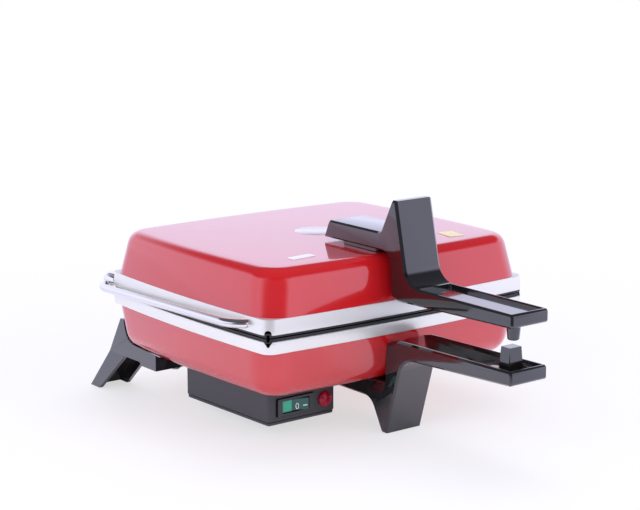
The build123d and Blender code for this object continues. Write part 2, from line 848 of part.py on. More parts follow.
# Screws of the cover
with BuildPart() as box_cover_screws:
    for place in cover_post_places:
        with BuildSketch(Plane.XY.offset(box_bottom_z)):
            with Locations(place):
                Circle(cover_head_radius)
        extrude(amount=-screw_head_height / 2)
        with BuildSketch(Plane.XY.offset(box_bottom_z)):
            with Locations(place):
                Circle(cover_screw_radius - running_gap)
        extrude(amount=cover_thickness + cover_screw_grip)
write(box_cover_screws.part, "box_cover_screws")

# Switch bezel with the housing behind it, open to the front for the rocker
with BuildPart() as switch_bezel:
    with BuildSketch(Plane.XZ.offset(-box_front_y)) as rim:
        with Locations((switch_x, switch_z)):
            Rectangle(bezel_width, bezel_height)
        fillet(rim.vertices(), switch_body_wall)
    extrude(amount=bezel_depth)
    fillet(switch_bezel.faces().sort_by(Axis.Y)[0].edges(), bezel_depth / 2)
    with BuildSketch(Plane.XZ.offset(-box_front_y)):
        with Locations((switch_x, switch_z)):
            Rectangle(switch_hole_width + 2 * switch_body_wall, switch_hole_height + 2 * switch_body_wall)
    extrude(amount=-switch_body_depth)
    with BuildSketch(Plane.XZ.offset(-box_front_y + bezel_depth)):
        with Locations((switch_x, switch_z)):
            Rectangle(switch_hole_width, switch_hole_height)
    extrude(amount=-(switch_body_depth + bezel_depth - switch_body_wall), mode=Mode.SUBTRACT)
write(switch_bezel.part, "switch_bezel")

# Rocker: a shallow V from end to end, shown with its left end pressed in
rocker_pivot_y = box_front_y + rocker_pivot_depth
with BuildPart() as switch_rocker:
    with BuildSketch(Plane.XY.offset(switch_z - rocker_height / 2)):
        with BuildLine():
            Polyline(
                (-rocker_half_length, -rocker_front),
                (0, rocker_dip - rocker_front),
                (rocker_half_length, -rocker_front),
                (rocker_half_length, -rocker_side),
                (rocker_tail, rocker_tail),
                (-rocker_tail, rocker_tail),
                (-rocker_half_length, -rocker_side),
                close=True,
            )
        make_face()
    extrude(amount=rocker_height)
pivot = Pos(switch_x, rocker_pivot_y, 0)
write(pivot * Rot(0, 0, -rocker_tilt) * switch_rocker.part, "switch_rocker")

# Faceted lamp lens beside the switch, with its stem through the wall
with BuildPart() as lamp_lens:
    with BuildSketch(Plane.XZ.offset(-box_front_y + thin_gap)):
        with Locations((lamp_x, lamp_z)):
            Circle(lamp_radius)
    extrude(amount=lamp_rise / 2)
    with BuildSketch(Plane.XZ.offset(-box_front_y + thin_gap + lamp_rise / 2)):
        with Locations((lamp_x, lamp_z)):
            RegularPolygon(lamp_radius - part_gap, lamp_facets)
    with BuildSketch(Plane.XZ.offset(-box_front_y + thin_gap + lamp_rise)):
        with Locations((lamp_x, lamp_z)):
            RegularPolygon(lamp_radius / 2, lamp_facets)
    loft()
    with BuildSketch(Plane.XZ.offset(-box_front_y + thin_gap)):
        with Locations((lamp_x, lamp_z)):
            Circle(lamp_stem_radius)
    extrude(amount=-(box_wall + box_corner))
write(lamp_lens.part, "lamp_lens")

# Holder of the lamp, behind the front wall
with BuildPart() as lamp_holder:
    with BuildSketch(Plane.XZ.offset(-box_front_y - box_wall - box_corner)):
        with Locations((lamp_x, lamp_z)):
            Circle(lamp_holder_radius)
    extrude(amount=-lamp_holder_length)
write(lamp_holder.part, "lamp_holder")

# Terminal block on the cover, with a pocket for each pole
with BuildPart() as terminal_block:
    with BuildSketch(Plane.XY.offset(box_rim_z)):
        with Locations((gland_x, terminal_y)):
            Rectangle(terminal_length, terminal_width)
    extrude(amount=terminal_height)
    with BuildSketch(Plane.XY.offset(box_rim_z + terminal_height)):
        with Locations((gland_x, terminal_y)):
            with GridLocations(terminal_length / terminal_poles, 0, terminal_poles, 1):
                Circle(screw_radius)
    extrude(amount=-terminal_height / 2, mode=Mode.SUBTRACT)
write(terminal_block.part, "terminal_block")

# Gland in the back wall, its bore for the supply lead
with BuildPart() as cord_gland:
    with BuildSketch(Plane.XZ.offset(-box_back_y)):
        with Locations((gland_x, gland_z)):
            Circle(gland_flange)
    extrude(amount=-gland_flange_thickness)
    with BuildSketch(Plane.XZ.offset(-box_back_y)):
        with Locations((gland_x, gland_z)):
            Circle(gland_radius)
    extrude(amount=-(gland_flange_thickness + gland_reach))
    with BuildSketch(Plane.XZ.offset(-box_back_y)):
        with Locations((gland_x, gland_z)):
            Circle(gland_radius)
    extrude(amount=box_wall + gland_flange_thickness)
    with BuildSketch(Plane.XZ.offset(-box_back_y + box_wall + gland_flange_thickness)):
        with Locations((gland_x, gland_z)):
            Circle(gland_bore)
    extrude(amount=-(box_wall + 2 * gland_flange_thickness + gland_reach), mode=Mode.SUBTRACT)
write(cord_gland.part, "cord_gland")

# Screws of the lower handle and the rear legs, and their nuts inside the pan
leg_screw_places = [(side * leg_screw_x, y) for side in (-1, 1) for y in leg_screw_ys]
screw_seats = (
    [((0, y), leg_arm_under_z + leg_arm_height / 2) for y in base_screw_ys]
    + [((x, y), ground_clearance - (rear_pad_height if y < rear_pad_end_y else rear_arm_height))
       for x, y in leg_screw_places]
)
with BuildPart() as underside_screws:
    for (x, y), seat_z in screw_seats:
        add(Pos(x, y, 0) * pan_screw(seat_z, ground_clearance + sheet + nut_height - seat_z, 1))
write(underside_screws.part, "underside_screws")

with BuildPart() as underside_nuts:
    with BuildSketch(Plane.XY.offset(ground_clearance + sheet)):
        for (x, y), _ in screw_seats:
            with Locations((x, y)):
                RegularPolygon(nut_radius, 6)
                Circle(screw_radius + running_gap, mode=Mode.SUBTRACT)
    extrude(amount=nut_height)
write(underside_nuts.part, "underside_nuts")

# Bail: one bent wire, its ends turned in as the lid's pins and its back bar the hinge
with BuildPart() as bail:
    with BuildLine() as wire_path:
        FilletPolyline(
            (-pin_inner_x, pin_y, pin_z),
            (-pin_bend_x, pin_y, pin_z),
            (-arm_front_x, pin_y + arm_bend_run, pin_z),
            (-arm_rear_x, bar_y, bar_z),
            (arm_rear_x, bar_y, bar_z),
            (arm_front_x, pin_y + arm_bend_run, pin_z),
            (pin_bend_x, pin_y, pin_z),
            (pin_inner_x, pin_y, pin_z),
            radius=[pin_bend_radius, arm_bend_radius, rear_bend_radius,
                    rear_bend_radius, arm_bend_radius, pin_bend_radius],
        )
    with BuildSketch(Plane(origin=wire_path.line @ 0, z_dir=wire_path.line % 0)):
        Circle(wire_radius)
    sweep()
write(bail.part, "bail")

# Lid shell with the holes of the handle's screws and the centre screw
with BuildPart() as lid_shell:
    add(lid_outer)
    add(lid_inner, mode=Mode.SUBTRACT)
    with BuildSketch(Plane.XY.offset(lid_top_z)):
        Circle(screw_radius + thin_gap)
        for y in handle_screw_ys:
            with Locations((0, y)):
                Circle(screw_radius + thin_gap)
    extrude(amount=-sheet, mode=Mode.SUBTRACT)
write(lid_shell.part, "lid_shell")

# Chrome band round the lid, with the bores of the bail's pins
with BuildPart() as lid_band:
    add(band_ring(lid_band_bottom_z, lid_rim_z, notch_width, notch_width / 2, lid_notch_height))
    with BuildSketch(Plane.YZ):
        with Locations((pin_y, pin_z)):
            Circle(wire_radius + running_gap)
    extrude(amount=arm_front_x, both=True, mode=Mode.SUBTRACT)
write(lid_band.part, "lid_band")

# Upper cooking plate and what lies behind it
with BuildPart() as lid_plate:
    add(cooking_plate(1, lid_boss_reach))
write(lid_plate.part, "lid_plate")

with BuildPart() as lid_heater:
    add(heater_tube(1, lid_plate_back_z))
write(lid_heater.part, "lid_heater")

with BuildPart() as lid_heater_clips:
    add(heater_clip_set(1, lid_plate_back_z))
write(lid_heater_clips.part, "lid_heater_clips")

with BuildPart() as lid_reflector:
    add(reflector_tray(1, lid_plate_back_z))
write(lid_reflector.part, "lid_reflector")

# Thermal fuse lying on the back of the upper plate
with BuildPart() as thermal_fuse:
    with BuildSketch(Plane.YZ):
        with Locations((-heater_end_gap, lid_plate_back_z + fuse_radius + thin_gap)):
            Circle(fuse_radius)
    extrude(amount=fuse_length / 2, both=True)
write(thermal_fuse.part, "thermal_fuse")

# Upper handle: arm on the lid, upright fin and grip with its tray
arm_fin_corner = (fin_root_y, arm_top_z)
heel_corner = (heel_y + grip_rim, arm_under_z)
grip_root_corner = (grip_root_y, grip_rim_z)
with BuildPart() as lid_handle:
    add(handle_solid(
        [
            (arm_inner_y, arm_under_z),
            (arm_inner_y - arm_end_slope, arm_top_z),
            arm_fin_corner,
            (fin_back_y, fin_top_z),
            (fin_front_y, fin_top_z),
            grip_root_corner,
            (handle_front_y, grip_rim_z),
            (handle_front_y, grip_end_z),
            (heel_y - grip_rear_depth / 2, heel_z),
            (heel_y, heel_z + grip_rim),
            heel_corner,
        ],
        [
            ((arm_inner_y - arm_end_slope, arm_top_z), grip_rim),
            (arm_fin_corner, fin_rounding),
            ((handle_front_y, grip_rim_z), grip_rim),
            ((handle_front_y, grip_end_z), grip_rim),
            (grip_root_corner, grip_root_rounding),
            (heel_corner, heel_rounding),
        ],
    ))
    with BuildSketch(Plane.XY.offset(grip_rim_z)) as tray:
        with Locations((0, (tray_front_y + tray_back_y) / 2)):
            Rectangle(handle_width - 2 * grip_rim, tray_back_y - tray_front_y)
        fillet(tray.vertices(), tray_corner)
    extrude(amount=-tray_depth, mode=Mode.SUBTRACT)
    with BuildSketch(Plane.XY.offset(grip_rim_z)):
        with Locations((0, (tray_front_y + tray_back_y) / 2)):
            Rectangle(handle_width - 2 * grip_rim, tray_back_y - tray_front_y)
    extrude(amount=grip_rim_rise / 2, mode=Mode.SUBTRACT)
    with BuildSketch(Plane.XY.offset(arm_under_z)):
        for y in handle_screw_ys:
            with Locations((0, y)):
                Circle(screw_radius + running_gap)
    extrude(amount=arm_height / 2 + part_gap, mode=Mode.SUBTRACT)
    with BuildSketch(Plane.XY.offset(heel_z)):
        with Locations((0, peg_y)):
            Circle(peg_stem_radius + running_gap)
    extrude(amount=peg_seat_z - heel_z + peg_stem_length + part_gap, mode=Mode.SUBTRACT)
write(lid_handle.part, "lid_handle")

# Spacer between the lid and the arm
with BuildPart() as handle_spacer:
    with BuildSketch(Plane.XY.offset(lid_top_z)):
        with Locations((0, body_front_y + spacer_setback + spacer_length / 2)):
            RectangleRounded(2 * spacer_half_width, spacer_length, grip_rim)
        for y in handle_screw_ys:
            with Locations((0, y)):
                Circle(screw_radius + thin_gap, mode=Mode.SUBTRACT)
    extrude(amount=spacer_height)
write(handle_spacer.part, "handle_spacer")

# Screws of the upper handle, driven from inside the lid
with BuildPart() as handle_screws:
    for y in handle_screw_ys:
        add(Pos(0, y, 0) * pan_screw(lid_top_z - sheet, sheet + spacer_height + arm_height / 2, 1))
write(handle_screws.part, "handle_screws")

# Peg under the end of the upper grip, with its stem
with BuildPart() as closing_peg:
    with BuildSketch(Plane.XY.offset(peg_seat_z - part_gap)):
        with Locations((0, peg_y)):
            Circle(peg_radius)
    extrude(amount=part_gap - peg_length, taper=peg_draft)
    fillet(closing_peg.faces().sort_by(Axis.Z)[0].edges(), grip_rim / 2)
    with BuildSketch(Plane.XY.offset(peg_seat_z - part_gap)):
        with Locations((0, peg_y)):
            Circle(peg_stem_radius)
    extrude(amount=peg_stem_length)
write(closing_peg.part, "closing_peg")


def hood_form(side, shrink):
    """Closed form of a hood: a block with a round outer corner and round top edges."""
    bottom_z = bar_z + wire_radius + part_gap
    outer_x = hood_outer_x - shrink
    inner_x = hood_inner_x + shrink
    back_y = hood_back_y - shrink
    with BuildPart() as form:
        with BuildSketch(Plane.XY.offset(bottom_z)) as plan:
            with Locations((side * (inner_x + outer_x) / 2, (hood_front_y + back_y) / 2)):
                Rectangle(outer_x - inner_x, back_y - hood_front_y)
            outer_corner = plan.vertices().sort_by_distance((side * outer_x, back_y))[0]
            fillet(outer_corner, hood_corner_radius - shrink)
        extrude(amount=hood_top_z - shrink - bottom_z)
        top_edges = form.faces().sort_by(Axis.Z)[-1].edges()
        fillet(top_edges.filter_by(lambda edge: edge.center().Y > hood_front_y + hood_rounding / 2),
               hood_rounding - shrink)
    return form.part


def lid_hood(side):
    """Pressed hood over the bar, open below, its front edge against the lid's band."""
    with BuildPart() as hood:
        add(hood_form(side, 0))
        add(hood_form(side, sheet), mode=Mode.SUBTRACT)
        add(band_form(lid_band_bottom_z, lid_rim_z, thin_gap), mode=Mode.SUBTRACT)
    return hood.part


# Hoods on the back of the lid's band
with BuildPart() as lid_hood_left:
    add(lid_hood(-1))
write(lid_hood_left.part, "lid_hood_left")

with BuildPart() as lid_hood_right:
    add(lid_hood(1))
write(lid_hood_right.part, "lid_hood_right")

# Screw that draws the lid and its plate together, its low head on the lid
with BuildPart() as lid_centre_screw:
    with BuildSketch(Plane.XY.offset(lid_top_z)):
        Circle(screw_head_radius)
    extrude(amount=centre_head_height)
    with BuildSketch(Plane.XY.offset(lid_top_z)):
        Circle(screw_radius)
    extrude(amount=-(sheet + screw_grip - part_gap))
write(lid_centre_screw.part, "lid_centre_screw")

# Disc on the middle of the lid, hollow below over the head of the screw
with BuildPart() as lid_disc:
    with BuildSketch(Plane.XY.offset(lid_top_z)):
        Circle(disc_radius)
    extrude(amount=disc_thickness)
    fillet(lid_disc.faces().sort_by(Axis.Z)[-1].edges(), disc_thickness / 2)
    with BuildSketch(Plane.XY.offset(lid_top_z)):
        Circle(screw_head_radius + part_gap)
    extrude(amount=centre_head_height + thin_gap, mode=Mode.SUBTRACT)
write(lid_disc.part, "lid_disc")
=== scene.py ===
"""Dress the packed sandwich maker: pressed shells, chrome, black mouldings, switch panel and finishes."""

from __future__ import annotations

import json
import logging
from dataclasses import dataclass, field
from enum import Enum
from functools import cache
from math import atan2, cos, pi, radians, sin, tan
from typing import Iterable, Sequence

import bmesh
import bpy
from bpy.types import Material, Mesh, NodeSocket, Object
from mathutils import Matrix, Vector


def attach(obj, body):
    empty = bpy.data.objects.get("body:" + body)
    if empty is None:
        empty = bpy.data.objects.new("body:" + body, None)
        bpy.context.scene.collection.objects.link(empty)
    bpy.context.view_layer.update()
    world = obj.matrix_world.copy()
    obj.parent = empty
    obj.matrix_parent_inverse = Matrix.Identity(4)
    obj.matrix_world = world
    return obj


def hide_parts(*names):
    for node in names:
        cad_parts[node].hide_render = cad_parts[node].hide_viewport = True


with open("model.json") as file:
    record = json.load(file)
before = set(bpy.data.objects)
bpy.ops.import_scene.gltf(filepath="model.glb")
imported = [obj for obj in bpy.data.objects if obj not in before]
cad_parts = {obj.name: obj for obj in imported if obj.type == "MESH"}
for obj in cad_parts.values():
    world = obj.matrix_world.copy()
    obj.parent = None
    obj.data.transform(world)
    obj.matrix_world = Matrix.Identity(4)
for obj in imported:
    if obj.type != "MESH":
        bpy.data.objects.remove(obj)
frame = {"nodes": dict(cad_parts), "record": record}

LOG = logging.getLogger("sandwich_maker")

# Heights that several pieces share, in metres.
MM = 0.001
SPLIT_Z = 78.3 * MM
HALF_GAP = 2.13 * MM
PAN_BOTTOM_Z = 34.85 * MM
LID_TOP_Z = 120.0 * MM

# Corners closer than a weld distance are merged. Angles are in degrees: faces within FLAT_ANGLE are
# joined, edges sharper than EASED_ANGLE are eased, and the other two say which edges stay hard.
WELD = 1e-6
CAD_WELD = 1e-5
FLAT_ANGLE = 0.6
EASED_ANGLE = 30.0
EASED_STEPS = 3
MOULDING_ANGLE = 40.0
HARD_ANGLE = 32.0

# Sockets of the colour mix node, and the average of the noise node.
MIX_FIRST, MIX_SECOND, MIX_RESULT = 6, 7, 2
NOISE_MEAN = 0.5
EVEN = (1.0, 1.0, 1.0)
WHITE = (1.0, 1.0, 1.0)

# Signs of the four corners of a rectangle, against the clock.
CORNERS = ((1, 1), (-1, 1), (-1, -1), (1, -1))

Pair = tuple[float, float]
Triple = tuple[float, float, float]
Ring = list[Vector]


class Body(str, Enum):
    """Moving bodies of the object."""

    BASE = "base"
    ROCKER = "rocker"
    BAIL = "bail"
    LID = "lid"


class Slot(str, Enum):
    """Material slots of the record."""

    RED_PAINT = "red_paint"
    CHROME = "chrome"
    CAST_ALUMINIUM = "cast_aluminium"
    BAKELITE = "bakelite"
    BOX_PLASTIC = "box_plastic"
    GREEN_PLASTIC = "green_plastic"
    RED_LENS = "red_lens"
    STEEL = "steel"
    ALUMINISED_SHEET = "aluminised_sheet"
    CERAMIC = "ceramic"
    DISC_METAL = "disc_metal"


class Wire:
    """Output of a shader node, with the arithmetic that masks are written in."""

    def __init__(self, shader: Shader, socket: NodeSocket) -> None:
        """Keep the output and the tree that it belongs to."""
        self.shader = shader
        self.socket = socket

    def _math(self, operation: str, *values: Wire | float) -> Wire:
        """Add one Math node and return its result."""
        return self.shader.node("Math", dict(enumerate(values)), operation=operation)

    def __add__(self, other: Wire | float) -> Wire:
        """Sum."""
        return self._math("ADD", self, other)

    def __radd__(self, other: Wire | float) -> Wire:
        """Sum, reflected."""
        return self._math("ADD", other, self)

    def __sub__(self, other: Wire | float) -> Wire:
        """Difference."""
        return self._math("SUBTRACT", self, other)

    def __rsub__(self, other: Wire | float) -> Wire:
        """Difference, reflected."""
        return self._math("SUBTRACT", other, self)

    def __mul__(self, other: Wire | float) -> Wire:
        """Product."""
        return self._math("MULTIPLY", self, other)

    def __rmul__(self, other: Wire | float) -> Wire:
        """Product, reflected."""
        return self._math("MULTIPLY", other, self)

    def smoothstep(self, low: float, high: float) -> Wire:
        """Soft step from 0 at the low value to 1 at the high one."""
        inputs = {"Value": self, "From Min": low, "From Max": high}
        return self.shader.node("MapRange", inputs, interpolation_type="SMOOTHSTEP")


Value = Wire | float | Sequence[float]


class Shader:
    """Node tree of a material or of the world."""

    def __init__(self, tree: bpy.types.NodeTree) -> None:
        """Empty the tree that is to be filled."""
        self.tree = tree
        tree.nodes.clear()

    @classmethod
    def material(cls, name: str) -> tuple[Shader, Material]:
        """Make a material whose tree holds a Principled surface.

        Args:
            name: The material's name.

        Returns:
            The shader and the material.
        """
        made = bpy.data.materials.new(name)
        made.use_nodes = True
        shader = cls(made.node_tree)
        shader.output = shader.tree.nodes.new("ShaderNodeOutputMaterial")
        shader.surface = shader.tree.nodes.new("ShaderNodeBsdfPrincipled")
        shader.tree.links.new(shader.surface.outputs[0], shader.output.inputs["Surface"])
        return shader, made

    def node(self, kind: str, inputs: dict[str | int, Value] | None = None, output: str | int = 0,
             **settings: object) -> Wire:
        """Add a node, set its properties and then its inputs.

        Args:
            kind: The node's type, without the words that all types share.
            inputs: Values or wires of its inputs.
            output: The output that the wire starts from.
            **settings: Its properties.

        Returns:
            The wire of that output.
        """
        made = self.tree.nodes.new(f"ShaderNode{kind}")
        for key, value in settings.items():
            setattr(made, key, value)
        for key, value in (inputs or {}).items():
            self.join(value, made.inputs[key])
        return Wire(self, made.outputs[output])

    def join(self, value: Value, socket: NodeSocket) -> None:
        """Link a wire to a socket, or write a value on it.

        Args:
            value: The wire or the value.
            socket: The input that takes it.
        """
        if isinstance(value, Wire):
            self.tree.links.new(value.socket, socket)
        else:
            socket.default_value = value

    def set(self, **values: Value) -> None:
        """Set inputs of the surface; an underscore stands for a space in a socket's name."""
        for name, value in values.items():
            self.join(value, self.surface.inputs[name.replace("_", " ")])

    def place(self, scale: Sequence[float] = EVEN) -> Wire:
        """Object coordinates, scaled along each axis."""
        coordinates = self.node("TexCoord", output="Object")
        return self.node("Mapping", {"Vector": coordinates, "Scale": scale})

    def noise(self, scale: float, detail: float = 3.0, stretch: Sequence[float] = EVEN) -> Wire:
        """Noise in object space, given its cells per metre, its octaves and its scale along each axis."""
        return self.node("TexNoise", {"Vector": self.place(stretch), "Scale": scale, "Detail": detail})

    def mix_colour(self, factor: Wire | float, first: Triple | Wire, second: Triple | Wire) -> Wire:
        """Mix two colours by a factor."""
        low, high = (end if isinstance(end, Wire) else (*end, 1.0) for end in (first, second))
        return self.node("Mix", {"Factor": factor, MIX_FIRST: low, MIX_SECOND: high}, MIX_RESULT,
                         data_type="RGBA")

    def bump(self, height: Wire, depth: float) -> Wire:
        """Normal of a relief of 0 to 1, with its depth in metres."""
        return self.node("Bump", {"Height": height, "Distance": depth}, "Normal")

    def along(self, place: Wire, direction: Triple) -> Wire:
        """How far a place lies in a direction."""
        return self.node("VectorMath", {0: place, 1: direction}, "Value", operation="DOT_PRODUCT")

    def ray(self, kind: str) -> Wire:
        """1 for rays of a kind and 0 for others."""
        return self.node("LightPath", output=f"Is {kind} Ray")


@dataclass(frozen=True)
class Finish:
    """Surface of a material: colour, gloss, the unevenness that shows close up, and painted light where
    given.
    """

    name: str
    colour: Triple
    shade: Triple
    roughness: float = 0.3
    swing: float = 0.05
    metallic: float = 0.0
    specular: float = 0.5
    coat: float = 0.0
    coat_ior: float = 1.5
    coat_roughness: float = 0.03
    mottle: float = 40.0
    mottle_detail: float = 4.0
    grain: float = 900.0
    grain_detail: float = 2.0
    relief: float = 2e-5
    stretch: Triple = EVEN
    transmission: float = 0.0
    painted_light_colour: Triple | None = None
    painted_light_edge: Pair = (0.0, 0.0)

    @cache
    def material(self) -> Material:
        """Make the material, once.

        Returns:
            The material, with colour, roughness and relief from noise in object space, and a painted light
            colour below an X edge where one is given.
        """
        shader, material = Shader.material(self.name)
        mottle = shader.noise(self.mottle, self.mottle_detail)
        grain = shader.noise(self.grain, self.grain_detail, self.stretch)
        swing = self.swing
        wear = (grain - NOISE_MEAN) * swing + (mottle - NOISE_MEAN) * swing
        colour = shader.mix_colour(mottle, self.colour, self.shade)
        # Painted light: below the X edge the colour turns to a brighter one, standing in for light that
        # falls on that side.
        if self.painted_light_colour:
            across = shader.node("SeparateXYZ", {0: shader.place()}, "X")
            colour = shader.mix_colour(across.smoothstep(*self.painted_light_edge), self.painted_light_colour, colour)
        shader.set(
            Base_Color=colour,
            Roughness=wear + self.roughness,
            Metallic=self.metallic,
            Specular_IOR_Level=self.specular,
            Coat_Weight=self.coat,
            Coat_IOR=self.coat_ior,
            Coat_Roughness=self.coat_roughness,
            Transmission_Weight=self.transmission,
            Normal=shader.bump(grain, self.relief),
        )
        return material


FINISHES: dict[Slot, Finish] = {
    Slot.RED_PAINT: Finish(
        "paint_red", (0.56, 0.010, 0.013), (0.52, 0.008, 0.011), roughness=0.16, coat=1.0, coat_ior=1.65,
        grain=420.0, relief=2e-6),
    Slot.CHROME: Finish(
        "plate_chrome", (0.88, 0.88, 0.84), (0.84, 0.84, 0.81), roughness=0.04, swing=0.02,
        metallic=1.0, grain=300.0, relief=2e-6),
    Slot.CAST_ALUMINIUM: Finish(
        "coating_black", (0.018, 0.018, 0.020), (0.030, 0.030, 0.032), roughness=0.38, grain=1600.0,
        relief=3e-5),
    Slot.BAKELITE: Finish(
        "moulding_black", (0.006, 0.006, 0.007), (0.009, 0.009, 0.010), roughness=0.12,
        swing=0.04, coat=1.0, coat_ior=1.7, coat_roughness=0.035, grain=260.0,
        relief=3e-6),
    Slot.BOX_PLASTIC: Finish(
        "moulding_satin", (0.040, 0.041, 0.047), (0.050, 0.051, 0.057), roughness=0.38,
        swing=0.10, grain=1400.0),
    # Painted light on the rocker: its left end, below X = -66 mm, is a brighter green for the facet that
    # catches the light.
    Slot.GREEN_PLASTIC: Finish(
        "rocker_green", (0.006, 0.105, 0.080), (0.005, 0.090, 0.070), roughness=0.20, grain=500.0,
        relief=4e-6, coat=0.6, painted_light_colour=(0.03, 0.42, 0.26), painted_light_edge=(-66.0 * MM, -65.6 * MM)),
    Slot.RED_LENS: Finish(
        "lens_red", (0.42, 0.004, 0.030), (0.50, 0.010, 0.050), roughness=0.06, grain=500.0,
        relief=2e-6, transmission=0.4),
    Slot.STEEL: Finish(
        "steel_bright", (0.50, 0.50, 0.51), (0.42, 0.42, 0.44), swing=0.15, metallic=1.0,
        grain=600.0, relief=1e-5),
    Slot.ALUMINISED_SHEET: Finish(
        "sheet_aluminised", (0.66, 0.66, 0.68), (0.56, 0.56, 0.58), roughness=0.35, swing=0.12,
        metallic=1.0, grain=700.0, stretch=(1.0, 0.08, 1.0)),
    Slot.CERAMIC: Finish(
        "block_ceramic", (0.78, 0.76, 0.70), (0.70, 0.68, 0.62), roughness=0.5, grain=1200.0,
        relief=3e-5),
    Slot.DISC_METAL: Finish(
        "disc_silver", (0.90, 0.86, 0.86), (0.86, 0.82, 0.82), roughness=0.28, metallic=0.5,
        stretch=(0.06, 1.0, 1.0)),
}
BAND_FINISH = Finish(
    "band_chrome", (0.93, 0.92, 0.88), (0.90, 0.89, 0.85), roughness=0.40, swing=0.06,
    metallic=0.65, mottle=60.0, grain=260.0, relief=3e-6)
# Near black for the switch bezel: painted shade that stands in for the shadow gap round it.
PAINTED_SHADE_FINISH = Finish(
    "painted_shade_black", (0.003, 0.003, 0.003), (0.005, 0.005, 0.005), roughness=0.6, specular=0.1,
    relief=5e-6)
MARK_FINISH = Finish(
    "mark_white", (0.85, 0.87, 0.86), (0.80, 0.82, 0.81), roughness=0.45, grain=2000.0,
    relief=4e-6)
WHITE_LABEL_FINISH = Finish(
    "label_white", (0.86, 0.86, 0.90), (0.82, 0.82, 0.87), roughness=0.5, grain=1500.0,
    relief=6e-6)
YELLOW_LABEL_FINISH = Finish(
    "label_cream", (0.90, 0.80, 0.50), (0.86, 0.75, 0.45), roughness=0.5, grain=1500.0,
    relief=6e-6)


def placed(name: str, data: bpy.types.ID) -> Object:
    """Put an object in the scene.

    Args:
        name: Its name.
        data: Its mesh, camera or lamp.

    Returns:
        The object.
    """
    made = bpy.data.objects.new(name, data)
    bpy.context.scene.collection.objects.link(made)
    return made


def dress(obj: Object, finish: Finish) -> None:
    """Give an object one finish all over."""
    obj.data.materials.clear()
    obj.data.materials.append(finish.material())

# The switch bezel is dressed in painted shade, near black, for the shadow gap round it; its flat front is a
# piece of its own in the box's plastic.

def piece(name: str, mesh: Mesh, slot: Slot, body: Body, *replaced: str,
          finish: Finish | None = None) -> None:
    """Put a mesh in the scene as a piece that rides on a body.

    Args:
        name: The piece's name.
        mesh: Its mesh, in the frame's metres.
        slot: Its material slot.
        body: The body it moves with.
        *replaced: CAD nodes that it stands for.
        finish: Its finish, where that isn't the slot's own.
    """
    mesh.name = name
    obj = placed(name, mesh)
    dress(obj, finish or FINISHES[slot])
    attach(obj, body.value)
    if replaced:
        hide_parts(*replaced)
    LOG.info("%s: %d faces, on %s", name, len(mesh.polygons), body.value)


def smooth(mesh: Mesh, angle: float) -> Mesh:
    """Shade a mesh smooth.

    Args:
        mesh: The mesh.
        angle: Edges sharper than this, in degrees, stay hard.

    Returns:
        The same mesh.
    """
    mesh.polygons.foreach_set("use_smooth", [True] * len(mesh.polygons))
    mesh.set_sharp_from_angle(angle=radians(angle))
    return mesh


def closed_mesh(points: Iterable[Vector], faces: Sequence[Sequence[int]], angle: float) -> Mesh:
    """Make the mesh of a closed form, its doubles merged and its faces turned out.

    Args:
        points: Its corners.
        faces: The corners of each face.
        angle: Edges sharper than this, in degrees, stay hard.

    Returns:
        The mesh.
    """
    mesh = bpy.data.meshes.new("form")
    mesh.from_pydata([tuple(point) for point in points], [], faces)
    form = bmesh.new()
    form.from_mesh(mesh)
    bmesh.ops.remove_doubles(form, verts=form.verts, dist=WELD)
    bmesh.ops.recalc_face_normals(form, faces=form.faces)
    form.to_mesh(mesh)
    form.free()
    return smooth(mesh, angle)


def ring_mesh(rings: Sequence[Ring], closed: bool = False) -> Mesh:
    """Make a mesh of quads between rings of equal length.

    Args:
        rings: Rings of points, all with the same number of points.
        closed: Whether the last ring joins the first; otherwise both ends are closed by a face.

    Returns:
        The mesh, its faces pointing out.
    """
    count = len(rings[0])
    faces: list[tuple[int, ...]] = []
    for span in range(len(rings) if closed else len(rings) - 1):
        low = span * count
        high = ((span + 1) % len(rings)) * count
        for index in range(count):
            following = (index + 1) % count
            faces.append((low + index, low + following, high + following, high + index))
    if not closed:
        faces.append(tuple(range(count - 1, -1, -1)))
        faces.append(tuple(range(len(rings) * count - count, len(rings) * count)))
    return closed_mesh([point for ring in rings for point in ring], faces, HARD_ANGLE)


def oval(half_x: float, half_y: float, height: float, steps: int) -> Ring:
    """Ellipse of points round the Z axis at a height, against the clock."""
    angles = [2 * pi * step / steps for step in range(steps)]
    return [Vector((half_x * cos(angle), half_y * sin(angle), height)) for angle in angles]


def oblong(half_x: float, half_y: float, height: float) -> Ring:
    """Corners of a rectangle round the Z axis at a height, against the clock."""
    return [Vector((sx * half_x, sy * half_y, height)) for sx, sy in CORNERS]


def rounded(half: Vector, corner: float, corner_steps: int, side_steps: int = 1) -> Ring:
    """Plan of a rectangle with round corners, against the clock.

    Args:
        half: Half its width and half its depth.
        corner: Its corner radius.
        corner_steps: Steps round each corner.
        side_steps: Steps along each side.

    Returns:
        The outline's points, in two dimensions.
    """
    points: Ring = []
    for quarter, (sx, sy) in enumerate(CORNERS):
        center = Vector((sx * (half.x - corner), sy * (half.y - corner)))
        for step in range(corner_steps + 1):
            angle = (quarter + step / corner_steps) * pi / 2
            points.append(center + corner * Vector((cos(angle), sin(angle))))
        start = points[-1]
        along, length = (Vector((-sx, 0)), half.x) if quarter % 2 == 0 else (Vector((0, -sy)), half.y)
        for step in range(1, side_steps):
            points.append(start + along * 2 * (length - corner) * step / side_steps)
    return points


def evaluated(holder: Object) -> Mesh:
    """Apply the modifiers of a helper object and remove it.

    Args:
        holder: The helper object.

    Returns:
        The plain mesh.
    """
    result = bpy.data.meshes.new_from_object(holder.evaluated_get(bpy.context.evaluated_depsgraph_get()))
    bpy.data.objects.remove(holder)
    return result


